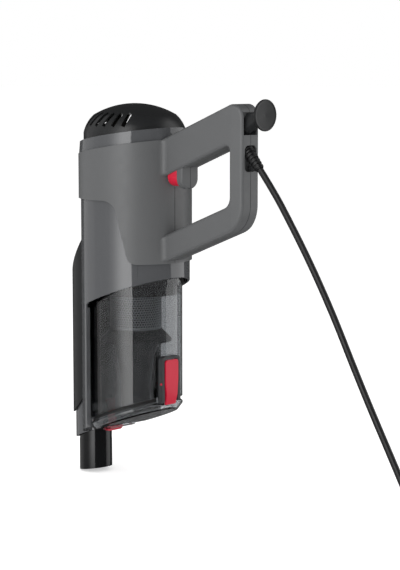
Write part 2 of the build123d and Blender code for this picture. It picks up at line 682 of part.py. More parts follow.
def upper_carrier():
    """Spider that holds the motor's upper rubber ring in the housing."""
    low = MOUNT_Z + 1
    carrier = ring(HOUSING_IN_R - 0.05, STATOR_R + 8.05, low, low + 4)
    for index in range(8):
        spot = Pos(BODY_X, 0, low) * Rot(0, 0, index * 45 + 22.5) * Pos(53, 0, 0)
        carrier -= spot * Cylinder(5.5, 12)
    return carrier


def intake_plate():
    """Plate above the cup, with a guard grille over the fan's eye."""
    plate = ring(SHELL_R - WALL - 0.2, FAN_EYE_R, *PLATE_Z)
    for index in range(3):
        bar = Pos(BODY_X, 0, sum(PLATE_Z) / 2) * Rot(0, 0, index * 60)
        plate += bar * Box(2 * FAN_EYE_R + 2, 2, PLATE_Z[1] - PLATE_Z[0])
    return plate + (ring(11, 9, *PLATE_Z))


# ---------------------------------------------------------------- filters and mounts in the housing
def exhaust_filter_frame():
    """Ring and cross that hold the exhaust filter under the cap."""
    frame = ring(CAP_R - WALL - 1, CAP_R - WALL - 4, *EXHAUST_FILTER_Z)
    for angle in (0, 90):
        frame += Pos(BODY_X, 0, EXHAUST_FILTER_Z[0] + 1) * Rot(0, 0, angle) * Box(106, 3, 2)
    return frame


def exhaust_filter():
    """Pleated pad inside its frame."""
    return disc(CAP_R - WALL - 4.1, EXHAUST_FILTER_Z[0] + 2.1, EXHAUST_FILTER_Z[1])


def motor_mount_lower():
    """Rubber ring between the fan's pan and the front shell."""
    return ring(SHELL_R - WALL - 0.1, FAN_R + 6.1, FAN_Z + 4, FAN_Z + 12)


def motor_mount_upper():
    """Rubber ring between the motor's upper frame and its carrier."""
    return ring(STATOR_R + 8, STATOR_R + 2.05, MOUNT_Z, MOUNT_Z + 6)


# ---------------------------------------------------------------- dust cup
def cup_block(radius, flat_x, z_low, z_high):
    """Upright cup shape: a cylinder with a flat front."""
    return disc(radius, z_low, z_high) & block((flat_x, 220), (-90, 90), (z_low, z_high))


def notch_block(grow, z_low):
    """Space of the notch in the lid's back, behind the latch."""
    half_w = NOTCH_HALF + grow
    return block((BODY_X + 20, BODY_X + CUP_R + 5), (-half_w, half_w), (z_low, 130))


def latch_tab():
    """Tab of the cup's wall that fills the lid's notch."""
    wall = ring(CUP_R, CUP_R - CUP_WALL, NOTCH_Z + FIT, 130)
    return wall & notch_block(-SLIDE_FIT, NOTCH_Z + FIT)


def dust_cup():
    """Clear cup with its air port, rim, floor strip and hinge lugs."""
    cup = cup_block(CUP_R, CUP_FLAT_X, 30, CUP_TOP)
    cup += cup_block(CUP_RIM_R, CUP_FLAT_X, CUP_TOP - CUP_RIM_H, CUP_TOP)
    cup -= cup_block(CUP_R - CUP_WALL, CUP_FLAT_X + CUP_WALL, 20, CUP_TOP + 1)
    strip = cup_block(CUP_R - 0.5, CUP_FLAT_X, 40, 120) & block((0, LID_FRONT_X - 1.5), (-90, 90), (0, 200))
    cup += strip & half_space(SEAM_Z + WALL, SLOPE, up=False)
    cup &= half_space(SEAM_Z, SLOPE, up=True)
    cup += latch_tab()
    cup -= port_box(-PORT_WALL, CUP_FLAT_X - 5, CUP_FLAT_X + 5)
    for side in (-1, 1):
        y_range = sorted((side * LUG_Y[0], side * LUG_Y[1]))
        hinge_x, hinge_z = LID_HINGE
        lug = cross_rod(LUG_R, hinge_x, hinge_z, *y_range)
        lug += block((hinge_x - LUG_R, hinge_x + 1), y_range, (hinge_z, slope_z(hinge_x, SEAM_Z) + 1))
        cup += lug - cross_rod(PIN_R + RUN_FIT, hinge_x, hinge_z, *y_range)
        y_range = sorted((side * ROCKER_LUG_Y[0], side * ROCKER_LUG_Y[1]))
        rocker_x, rocker_z = ROCKER_PIVOT
        lug = block((rocker_x - 2.5, CUP_FLAT_X + 1), y_range, (rocker_z - 2.5, rocker_z + 5))
        cup += lug - cross_rod(PIN_R + RUN_FIT, rocker_x, rocker_z, *y_range)
    return cup


def cyclone_top():
    """Dark collar across the cup's top: it holds the shroud below and the filter above."""
    low = SHROUD_Z[1]
    high = CUP_TOP - 1
    radius = CUP_R - CUP_WALL - 0.1
    collar = cup_block(radius, CUP_FLAT_X + CUP_WALL + 0.1, low, high)
    collar -= cup_block(radius - 2, CUP_FLAT_X + CUP_WALL + 2.1, low + 4, high + 1)
    return collar - disc(SHROUD_R - 5, low - 1, low + 5)


def premotor_filter():
    """Foam pad above the cyclone."""
    return cup_block(CUP_R - CUP_WALL - 2.3, CUP_FLAT_X + CUP_WALL + 2.4, SHROUD_Z[1] + 4.1, CUP_TOP - 4)


def cup_gasket():
    """Rubber ring that seals the cup's top against the intake plate."""
    ring_outer = cup_block(CUP_R - 1, CUP_FLAT_X + 1, CUP_TOP + 0.05, PLATE_Z[0] - SLIDE_FIT)
    return ring_outer - cup_block(CUP_R - 4, CUP_FLAT_X + 4, CUP_TOP - 1, PLATE_Z[0] + 1)


def shroud_mesh():
    """Perforated steel sleeve of the cyclone; its holes are too fine for the model."""
    return ring(SHROUD_R, SHROUD_R - 0.8, SHROUD_Z[0], SHROUD_Z[1] - 0.05)


def cyclone_cone():
    """Flared skirt, cone and dust tube under the mesh."""
    low, high = SHROUD_Z
    profile = [(SHROUD_R, low - 0.05), (FLARE_R, low - 12), (FLARE_R, low - 14), (27.5, low - 15.5),
               (21.0, low - 32), (17.6, low - 55), (CONE_R, low - 68), (CONE_R, 80),
               (CONE_R - 2, 80), (CONE_R - 2, low - 68), (15.6, low - 55), (19.0, low - 32),
               (25.0, low - 14), (SHROUD_R - 3, low - 0.05)]
    cone = turned(profile) & half_space(SEAM_Z + 3, SLOPE, up=True)
    return cone & block((CUP_FLAT_X + CUP_WALL + 0.5, 200), (-60, 60), (60, 300))


def inlet_chute():
    """Guide behind the cup's port that sends the air round the cup."""
    low = CUP_FLAT_X + CUP_WALL + 0.1
    half_w = PORT_W / 2
    chute = block((low, low + CHUTE_DEPTH), (-half_w, half_w), (SHROUD_Z[0] + 0.05, PORT_Z[1] + 2))
    hollow = block((low - 1, low + CHUTE_DEPTH - 2), (-half_w - 5, half_w - 2), (SHROUD_Z[0] + 2, PORT_Z[1]))
    return (chute - hollow) & disc(CUP_R - CUP_WALL - 0.5, 100, 300)


# ---------------------------------------------------------------- lid
def lid_block(radius, bottom_z, front_x, slant):
    """Tilted pan of the lid, its lower edge slanted inwards."""
    pan = cup_block(radius, front_x, 20, 200)
    pan &= half_space(SEAM_Z - 0.1, SLOPE, up=False)
    pan &= half_space(bottom_z, SLOPE, up=True)
    lowest = pan.faces().sort_by(Axis((0, 0, 0), (-math.sin(math.radians(SLOPE)), 0,
                                                  math.cos(math.radians(SLOPE)))))[0]
    return chamfer(lowest.edges().filter_by(GeomType.LINE, reverse=True), slant)


def lid():
    """Hinged floor of the dust cup."""
    bottom = SEAM_Z - LID_SIDE - LID_CHAMFER
    pan = lid_block(CUP_R + 0.2, bottom, LID_FRONT_X, LID_CHAMFER)
    inner = cup_block(CUP_R - CUP_WALL, LID_FRONT_X + CUP_WALL, 20, 200)
    inner &= half_space(bottom + CUP_WALL, SLOPE, up=True)
    floor_edge = inner.faces().sort_by(Axis((0, 0, 0), (-math.sin(math.radians(SLOPE)), 0,
                                                        math.cos(math.radians(SLOPE)))))[0]
    inner = chamfer(floor_edge.edges().filter_by(GeomType.LINE, reverse=True), LID_CHAMFER - 0.6)
    pan -= inner
    hinge_x, hinge_z = LID_HINGE
    half_knuckle = LUG_Y[0] - FIT
    knuckle = cross_rod(LUG_R, hinge_x, hinge_z, -half_knuckle, half_knuckle)
    knuckle += block((hinge_x, LID_FRONT_X + 1), (-half_knuckle, half_knuckle), (hinge_z - 2, hinge_z + 3))
    pan += knuckle - cross_rod(PIN_R + RUN_FIT, hinge_x, hinge_z, -half_knuckle, half_knuckle)
    pan -= notch_block(0, NOTCH_Z)
    back = BODY_X + CUP_R
    lip = block((back - 6, back + CATCH_DEPTH), (-CATCH_HALF, CATCH_HALF), (NOTCH_Z - 4, NOTCH_Z - 1.5))
    return pan + lip


def lid_gasket():
    """Rubber seal just inside the lid's rim."""
    outer = cup_block(CUP_R - CUP_WALL - 0.1, LID_FRONT_X + CUP_WALL + 0.1, 20, 200)
    inner = cup_block(CUP_R - CUP_WALL - 3, LID_FRONT_X + CUP_WALL + 3, 10, 210)
    band = (outer - inner) & half_space(SEAM_Z - 0.4, SLOPE, up=False)
    return (band & half_space(SEAM_Z - 4, SLOPE, up=True)) - notch_block(SLIDE_FIT, NOTCH_Z)


def hinge_pin():
    """Steel pin of the lid's hinge."""
    return cross_rod(PIN_R, *LID_HINGE, -LUG_Y[1], LUG_Y[1])


# ---------------------------------------------------------------- lid latch at the back of the cup
def latch_frame():
    """Cheeks and roof round the latch lever, fixed to the back of the cup."""
    low, high = LATCH_Z
    x_high = LATCH_FACE_X - 1.5
    frame = block((BODY_X + 40, x_high), (-LATCH_HALF - 4, LATCH_HALF + 4), (low + 3, high + 4))
    frame = fillet(frame.edges().filter_by(Axis.X).group_by(Axis.Z)[-1], FRAME_CORNER)
    opening = block((0, x_high + 1), (-LATCH_HALF - SLIDE_FIT, LATCH_HALF + SLIDE_FIT), (low - 5, high + 0.8))
    frame -= fillet(opening.edges().filter_by(Axis.X).group_by(Axis.Z)[-1], LATCH_CORNER)
    frame -= disc(CUP_R + 0.05, 50, 300)
    pivot_x, pivot_z = LATCH_PIVOT
    return frame - cross_rod(PIN_R + RUN_FIT, pivot_x, pivot_z, -LATCH_HALF - 5, LATCH_HALF + 5)


def lever_face():
    """Outline of the latch lever seen from behind: rounded above and narrower at its foot."""
    low, high = LATCH_Z
    points = [(-LATCH_FOOT_HALF, low), (LATCH_FOOT_HALF, low), (LATCH_HALF, LATCH_TAPER_Z), (LATCH_HALF, high),
              (-LATCH_HALF, high), (-LATCH_HALF, LATCH_TAPER_Z)]
    outline = make_face(Polyline(*[(BODY_X, y, z) for y, z in points], close=True))
    plate = extrude(outline, 2 * CUP_R, dir=(1, 0, 0))
    return fillet(plate.edges().filter_by(Axis.X).group_by(Axis.Z)[-1], LATCH_CORNER)


def latch_lever():
    """Red lever: pressing its top in swings its foot away from the lid."""
    low, high = LATCH_Z
    pivot_x, pivot_z = LATCH_PIVOT
    face = LATCH_FACE_X
    outline = [(face - 2.4, low), (face, low + 11), (face, high), (face - 2.8, high),
               (face - 2.8, pivot_z + 4), (face - 3.4, pivot_z - 4), (face - 3.4, low + 12),
               (face - 4.4, low)]
    lever = side_plate(outline, LATCH_HALF) & lever_face()
    lever += cross_rod(PIN_R + 1.4, pivot_x, pivot_z, -LATCH_HALF, LATCH_HALF)
    lever -= cross_rod(PIN_R + RUN_FIT, pivot_x, pivot_z, -LATCH_HALF - 1, LATCH_HALF + 1)
    return lever - block((0, LATCH_PIVOT[0] + 2.4), (-4, 4), (pivot_z - 4, pivot_z + 4))


def latch_pin():
    """Pin of the latch lever, seen as a red dot on each cheek."""
    return cross_rod(PIN_R, *LATCH_PIVOT, -LATCH_HALF - 4.6, LATCH_HALF + 4.6)


def latch_spring():
    """Torsion spring round the latch's pin."""
    return coil_spring(PIN_R + 0.75, 0.25, 5, LATCH_PIVOT[0], -3.5, 3.5, LATCH_PIVOT[1])


# ---------------------------------------------------------------- cup release rocker
def release_rocker():
    """Red rocker under the cup's front: pressing its pad in swings its catch back."""
    pivot_x, pivot_z = ROCKER_PIVOT
    half_arm = ROCKER_LUG_Y[0] - FIT
    pad = block((PAD_X[0], PAD_X[1]), (-PAD_HALF, PAD_HALF), PAD_Z)
    pad = fillet(pad.edges().filter_by(Axis.X), (PAD_Z[1] - PAD_Z[0]) / 2 - 0.2)
    arm = block((pivot_x - 2.2, pivot_x - 0.2), (-5, 5), (PAD_Z[1] - 3, ROCKER_CATCH_Z + 3))
    hub = cross_rod(PIN_R + 1.2, pivot_x, pivot_z, -6, half_arm)
    tooth = block((CATCH_TIP_X, pivot_x - 1), (-4.5, 4.5), (ROCKER_CATCH_Z - 2, ROCKER_CATCH_Z + 2))
    stem = block((pivot_x - 2.2, pivot_x + 1.5), (-5, 5), (PAD_Z[1] - 1, pivot_z))
    rocker = pad + arm + hub + tooth + stem
    return rocker - cross_rod(PIN_R + RUN_FIT, pivot_x, pivot_z, -half_arm - 1, half_arm + 1)


def rocker_pin():
    """Pin of the release rocker."""
    return cross_rod(PIN_R, *ROCKER_PIVOT, -ROCKER_LUG_Y[1], ROCKER_LUG_Y[1])


def rocker_spring():
    """Torsion spring round the rocker's pin."""
    return coil_spring(PIN_R + 0.75, 0.25, 5, ROCKER_PIVOT[0], -11.5, -6.5, ROCKER_PIVOT[1])


# ---------------------------------------------------------------- switch gear in the upper arm
def trigger():
    """Red key under the upper arm that slides up when it is squeezed."""
    low, high = TRIGGER_X
    key = block((low, high), (-TRIGGER_HALF, TRIGGER_HALF), (TRIGGER_BOTTOM, TRIGGER_TOP))
    key = fillet(key.edges().filter_by(Axis.X).group_by(Axis.Z)[0], TRIGGER_HALF - 1)
    back = [edge for edge in key.edges() if edge.center().Z < TRIGGER_BOTTOM + 2]
    key = fillet([edge for edge in back if edge.length > 10 or edge.center().Z < TRIGGER_BOTTOM + 0.01], 0.8)
    lip_low = arm_z(high + LIP_REACH, ARM_UNDER_Z) + WALL / math.cos(math.radians(SLOPE)) + 0.1
    lip_y = (-TRIGGER_HALF + 1, TRIGGER_HALF - 1)
    lip = block((high - 2, high + LIP_REACH), lip_y, (lip_low, lip_low + 3))
    post_top = SWITCH_LOW - PLUNGER_OUT - SWITCH_GAP
    post = block((high - 3, high + LIP_REACH), (-3, 3), (lip_low + 1, post_top))
    return key + lip + post


def trigger_spring():
    """Compression spring above the trigger."""
    path = Helix(pitch=2.2, height=SPRING_Z[1] - SPRING_Z[0] - 1.0, radius=3.2)
    start = Plane(origin=path @ 0, z_dir=path % 0)
    wire = sweep(start * Circle(0.4), path=path, is_frenet=True)
    return Pos(sum(TRIGGER_X) / 2 - 2, 0, SPRING_Z[0] + 0.5) * wire


def microswitch():
    """Snap-action switch above the trigger's post."""
    low = SWITCH_LOW
    body = block(SWITCH_X, (-3.2, 3.2), (low, low + 10))
    return body - block(PLUNGER_X, (-1.3, 1.3), (low - 1, low + 4.5))


def switch_plunger():
    """Small button of the switch."""
    x_low, x_high = PLUNGER_X
    return block((x_low + 0.1, x_high - 0.1), (-1.2, 1.2), (SWITCH_LOW - PLUNGER_OUT, SWITCH_LOW + 2.6))


def wire(points, radius, bends):
    """Insulated lead along a bent route in the plane of symmetry or near it."""
    path = FilletPolyline(*points, radius=bends)
    start = Plane(origin=path @ 0, z_dir=path % 0)
    return sweep(start * Circle(radius), path=path)


def mains_lead():
    """Lead from the strain relief through the grip and upper arm to the switch."""
    route = [boot_point(-10), (228, 0, 398), (205, 0, 390.5), (184, 0, 384),
             (174, 0, SWITCH_LOW + 5), (SWITCH_X[1] + 0.05, 0, SWITCH_LOW + 5)]
    return wire(route, 2.4, [5, 9, 9, 6])


# ---------------------------------------------------------------- cord hook and strain relief
def cord_hook():
    """Mushroom-shaped hook for the coiled cord."""
    low, high = HOOK_Z
    foot_x = GRIP_BACK - 2.4
    foot = Plane(origin=(foot_x, 0, (low + high) / 2), x_dir=(0, 1, 0), z_dir=(1, 0, 0))
    neck = Plane(origin=(HOOK_DISC_X + 0.5, 0, HOOK_DISC_Z), x_dir=(0, 1, 0), z_dir=(1, 0, 0))
    foot_face = foot * RectangleRounded(2 * HOOK_FOOT_HALF, high - low, HOOK_FOOT_HALF - 0.5)
    neck_face = neck * RectangleRounded(12, 12.5, 5.8)
    stem = loft([foot_face, neck_face])
    head = turned([(0, 0), (HOOK_DISC_R - 0.8, 0), (HOOK_DISC_R, 1.2), (HOOK_DISC_R, 2.2),
                   (HOOK_DISC_R - 0.8, 3), (HOOK_DISC_R - 3, 2.6), (0, 1.8)], x=0)
    head = Pos(HOOK_DISC_X, 0, HOOK_DISC_Z) * Rot(0, 90, 0) * head
    screw_way = Pos(GRIP_BACK, 0, sum(HOOK_Z) / 2) * Rot(0, -90, 0) * Cylinder(1.55, 24)
    return stem + head - (screw_way & block((0, GRIP_BACK + 8), (-5, 5), (0, 500)))


def hook_screw():
    """Screw from inside the grip into the hook's foot."""
    z = sum(HOOK_Z) / 2
    turn = Pos(GRIP_BACK, 0, z) * Rot(0, -90, 0)
    shank = turn * (Pos(0, 0, 1) * Cylinder(1.5, 14))
    head = turn * (Pos(0, 0, WALL + 2.5 + 1.1) * Cylinder(3, 2))
    return shank + head


def boot_point(distance):
    """Point on the strain relief's axis, at a distance from its start."""
    angle = math.radians(BOOT_ANGLE)
    x, z = BOOT_START
    return (x + distance * math.cos(angle), 0, z - distance * math.sin(angle))


def strain_relief():
    """Ribbed rubber boot that the cord leaves the grip through."""
    profile = [(CORD_R + 0.02, -8), (BOOT_NECK_R, -8), (BOOT_NECK_R, 0.5), (7.2, 0.5)]
    step = (BOOT_LENGTH - 3) / 6
    for index in range(6):
        outer = 7.2 - 0.32 * index
        low = 3 + step * index
        profile.extend([(outer, low), (outer - 1.7, low + 0.3), (outer - 1.7, low + 1.4), (outer - 0.3, low + 1.7)])
    profile.extend([(5.2, BOOT_LENGTH), (CORD_R + 0.02, BOOT_LENGTH)])
    boot = turned(profile, x=0)
    x, z = BOOT_START
    return Pos(x, 0, z) * Rot(0, 90 + BOOT_ANGLE, 0) * boot


# ---------------------------------------------------------------- cord
CORD_ROUTE = [(284, 0, 340), (304, 0, 313), (326, 0, 282), (347, 0, 250), (370, 0, 212),
              (393, 0, 170), (417, 0, 128), (442, -1, 88), (468, -6, 52), (496, -17, 25),
              (526, -25, 10), (556, -16, 4)]
TAIL_ROUTE = [(556.3, -16.3, 24.7), (577, -10, 24), (595.2, 4.7, 18), (605.4, 24.8, 8.5), (608, 46, 4.5),
              (604.8, 62.9, 6.4)]


def cord_tube(route):
    """Tube along straight runs joined by arcs as large as their runs allow."""
    points = [Vector(*point) for point in route]
    radii = []
    for before, here, after in zip(points, points[1:], points[2:]):
        turn = math.radians((here - before).get_angle(after - here))
        shorter = min((here - before).length, (after - here).length)
        radii.append(0.45 * shorter / math.tan(turn / 2))
    path = FilletPolyline(*points, radius=radii)
    start = Plane(origin=path @ 0, z_dir=path % 0)
    tube = sweep(start * Circle(CORD_R), path=path)
    print("arc radii", [round(radius) for radius in radii], "length", round(path.length),
          "volume over section times length", round(tube.volume / (math.pi * CORD_R ** 2 * path.length), 3))
    return tube


def cord_run():
    """Free stretches of the cord: from the strain relief to the coil, and from the coil to the plug."""
    run = cord_tube([boot_point(BOOT_LENGTH + 0.02)] + CORD_ROUTE)
    return Compound([run - cord_coil(), cord_tube(TAIL_ROUTE) - cord_coil()])


def plug_at(shape):
    """Puts a piece of the plug, drawn along +X, where the plug lies."""
    return Pos(*PLUG_PLACE) * Rot(0, 0, PLUG_TURN) * shape


def plug_body():
    """Flat moulded plug with a narrower tail."""
    body = block((-14, 18), (-13, 13), (0, 13))
    body = fillet(body.edges().filter_by(Axis.Z), 6)
    body = fillet(body.edges().group_by(Axis.Z)[-1] + body.edges().group_by(Axis.Z)[0], 3)
    tail = Pos(-24, 0, 6.5) * Rot(0, 90, 0) * Cone(5.2, 4.2, 22)
    return plug_at(body + tail)


def plug_pins():
    """The plug's two round pins."""
    pins = [Pos(18.05 + 9.5, side * 9.5, 6.5) * Rot(0, 90, 0) * Cylinder(2.4, 19) for side in (-1, 1)]
    return plug_at(Compound(pins))


def cord_tie():
    """Strap tied round the coil's bundle."""
    mid_r = COIL_R - COIL_WIDTH / 2
    strap = Box(COIL_WIDTH + 2.4, 10, COIL_H + 2.4)
    strap = Pos(COIL_X, COIL_Y, COIL_H / 2) * Rot(0, 0, TIE_TURN) * Pos(mid_r, 0, 0) * strap
    return (strap & block((0, 900), (-300, 300), (0, 300))) - cord_coil()


def cord_coil():
    """Outer shape of the coiled rest of the cord."""
    return ring(COIL_R, COIL_R - COIL_WIDTH, 0, COIL_H, COIL_X, COIL_Y)


if __name__ == "__main__":
    whole_housing = housing()
    band = exhaust_band()
    write("inlet_tube", inlet_tube())
    write("duct_elbow", duct_elbow())
    write("port_gasket", port_gasket())
    write("duct_cover", duct_cover())
    write("front_shell", front_shell())
    write("housing_left", half(whole_housing, -1))
    write("housing_right", half(whole_housing, 1))
    write("housing_screws", housing_screws())
    write("exhaust_band", band)
    write("exhaust_cap", exhaust_cap())
    write("exhaust_filter_frame", exhaust_filter_frame())
    write("exhaust_filter", exhaust_filter())
    write("intake_plate", intake_plate())
    write("fan_housing", fan_housing())
    write("impeller", impeller())
    write("diffuser", diffuser())
    write("motor_frame_lower", motor_frame_lower())
    write("motor_frame_upper", motor_frame_upper())
    write("bearings", bearings())
    write("stator_core", stator_core())
    write("field_coils", field_coils())
    write("rotor_shaft", disc(SHAFT_R, FAN_Z + 3, UPPER_BEARING_Z + 9))
    write("armature_core", ring(ARMATURE_R, SHAFT_R, *STATOR_Z))
    write("armature_windings", armature_windings())
    write("commutator", commutator())
    write("carbon_brushes", brush_set("carbon"))
    write("brush_holders", brush_set("holder"))
    write("motor_mount_lower", motor_mount_lower())
    write("motor_mount_upper", motor_mount_upper())
    write("motor_carrier", upper_carrier())
    write("dust_cup", dust_cup())
    write("cyclone_top", cyclone_top())
    write("premotor_filter", premotor_filter())
    write("cup_gasket", cup_gasket())
    write("shroud_mesh", shroud_mesh())
    write("cyclone_cone", cyclone_cone())
    write("inlet_chute", inlet_chute())
    write("lid", lid())
    write("lid_gasket", lid_gasket())
    write("lid_hinge_pin", hinge_pin())
    write("latch_frame", latch_frame())
    write("latch_lever", latch_lever())
    write("latch_pin", latch_pin())
    write("latch_spring", latch_spring())
    write("release_rocker", release_rocker())
    write("rocker_pin", rocker_pin())
    write("rocker_spring", rocker_spring())
    write("trigger", trigger())
    write("trigger_spring", trigger_spring())
    write("microswitch", microswitch())
    write("switch_plunger", switch_plunger())
    write("mains_lead", mains_lead())
    write("cord_hook", cord_hook())
    write("hook_screw", hook_screw())
    write("strain_relief", strain_relief())
    write("cord_run", cord_run())
    write("cord_coil", cord_coil())
    write("cord_tie", cord_tie())
    write("plug_body", plug_body())
    write("plug_pins", plug_pins())
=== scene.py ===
"""Handheld vacuum: finishes, fine pieces, cord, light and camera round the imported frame."""

import json
import logging
import math
from dataclasses import dataclass
from enum import Enum

import bmesh
import bpy
from mathutils import Matrix, Vector


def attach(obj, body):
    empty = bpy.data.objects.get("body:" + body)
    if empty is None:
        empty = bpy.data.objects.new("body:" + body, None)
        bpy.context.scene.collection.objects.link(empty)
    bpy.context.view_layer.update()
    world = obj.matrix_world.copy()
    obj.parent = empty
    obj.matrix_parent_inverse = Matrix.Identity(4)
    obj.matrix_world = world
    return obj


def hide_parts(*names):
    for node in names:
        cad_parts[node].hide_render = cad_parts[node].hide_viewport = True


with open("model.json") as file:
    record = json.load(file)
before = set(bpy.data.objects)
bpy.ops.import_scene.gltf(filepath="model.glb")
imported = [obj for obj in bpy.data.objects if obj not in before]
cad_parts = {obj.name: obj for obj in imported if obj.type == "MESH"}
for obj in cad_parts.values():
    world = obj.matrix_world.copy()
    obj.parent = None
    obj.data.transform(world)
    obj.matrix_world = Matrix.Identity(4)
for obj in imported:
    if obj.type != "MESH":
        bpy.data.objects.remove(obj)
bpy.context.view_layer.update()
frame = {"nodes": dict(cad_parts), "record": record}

logging.basicConfig(level=logging.INFO, format="%(message)s")
log = logging.getLogger("vacuum")

MM = 0.001
PARTING_HALF = 0.45                         # half the joint between the housing's halves, in millimetres
JOINT_SHADOW = "1E1F20"                     # the dark in that joint
NOISE_ROUGHNESS = 0.55                      # how much the finer octaves of a noise pattern weigh
NOISE_LOW, NOISE_HIGH = 0.3, 0.7            # nearly all of a noise pattern lies between these
COLOUR_A, COLOUR_B, COLOUR_OUT = 6, 7, 2    # colour sockets of a Mix node
PLASTIC_IOR = 1.5                           # ABS, PP, PVC and rubber are all close to this
WELD_REACH = 0.000005                       # metres within which two corners of a solid are one
EVEN_WEIGHT = 100                           # the large faces decide the normals beside a rounded edge
Socket = bpy.types.NodeSocket
Point = tuple[float, float, float]


# ---------------------------------------------------------------- shared helpers
def linear(hex_colour: str) -> tuple[float, float, float, float]:
    """Turns an sRGB hex colour into linear values.

    Args:
        hex_colour: six hex digits, such as "6E6F70".

    Returns:
        Linear red, green and blue, and an alpha of 1.
    """
    values = [int(hex_colour[i:i + 2], 16) / 255 for i in (0, 2, 4)]
    red, green, blue = [v / 12.92 if v <= 0.04045 else ((v + 0.055) / 1.055) ** 2.4 for v in values]
    return red, green, blue, 1.0


def scale_of(size_mm: float) -> float:
    """Gives the scale of a pattern whose lumps are about size_mm across."""
    return 1 / (size_mm * MM)


def add_node(tree: bpy.types.NodeTree, kind: str, inputs: dict | None = None,
             **settings: object) -> bpy.types.Node:
    """Adds a node with its settings, values and links.

    Args:
        tree: the material's or the world's node tree.
        kind: the node's type name.
        inputs: input name or index, to a value or to the output socket that feeds it.
        settings: attributes of the node itself.

    Returns:
        The new node.
    """
    node = tree.nodes.new(kind)
    for name, value in settings.items():
        setattr(node, name, value)
    for name, value in (inputs or {}).items():
        if isinstance(value, Socket):
            tree.links.new(value, node.inputs[name])
        else:
            node.inputs[name].default_value = value
    return node


def new_material(name: str) -> tuple[bpy.types.Material, bpy.types.NodeTree, bpy.types.Node, Socket]:
    """Starts a material with a Principled shader and object coordinates.

    Args:
        name: the material's name.

    Returns:
        The material, its tree, the shader and the coordinate socket.
    """
    material = bpy.data.materials.new(name)
    material.use_nodes = True
    tree = material.node_tree
    tree.nodes.clear()
    shader = add_node(tree, "ShaderNodeBsdfPrincipled")
    add_node(tree, "ShaderNodeOutputMaterial", {"Surface": shader.outputs[0]})
    place = add_node(tree, "ShaderNodeTexCoord").outputs["Object"]
    return material, tree, shader, place


def feed(tree: bpy.types.NodeTree, shader: bpy.types.Node, links: dict[str, Socket],
         **values: object) -> None:
    """Links patterns to a shader and sets the plain values on its own sockets.

    Args:
        tree: the material's node tree.
        shader: the Principled shader.
        links: socket name, to the output that feeds it.
        values: socket names with underscores for spaces, and their values.
    """
    for name, output in links.items():
        tree.links.new(output, shader.inputs[name])
    for name, value in values.items():
        shader.inputs[name.replace("_", " ")].default_value = value


def mesh_piece(name: str, mesh: bmesh.types.BMesh, smooth: bool = True) -> bpy.types.Object:
    """Turns a bmesh into an object in the scene.

    Args:
        name: the piece's name.
        mesh: the finished bmesh, which is freed.
        smooth: whether its faces are shaded as one smooth surface.

    Returns:
        The new object.
    """
    data = bpy.data.meshes.new(name)
    bmesh.ops.recalc_face_normals(mesh, faces=mesh.faces)
    mesh.to_mesh(data)
    mesh.free()
    piece = bpy.data.objects.new(name, data)
    bpy.context.scene.collection.objects.link(piece)
    for polygon in data.polygons:
        polygon.use_smooth = smooth
    return piece


def bevelled(piece: bpy.types.Object, width_mm: float, segments: int = 2, angle: float = 35) -> None:
    """Rounds a piece's sharp edges with a modifier.

    Args:
        piece: the object to round.
        width_mm: width of the rounding.
        segments: faces across the rounding.
        angle: edges sharper than this many degrees are rounded.
    """
    modifier = piece.modifiers.new("edge_round", "BEVEL")
    modifier.width = width_mm * MM
    modifier.segments = segments
    modifier.limit_method = "ANGLE"
    modifier.angle_limit = math.radians(angle)
    modifier.harden_normals = False


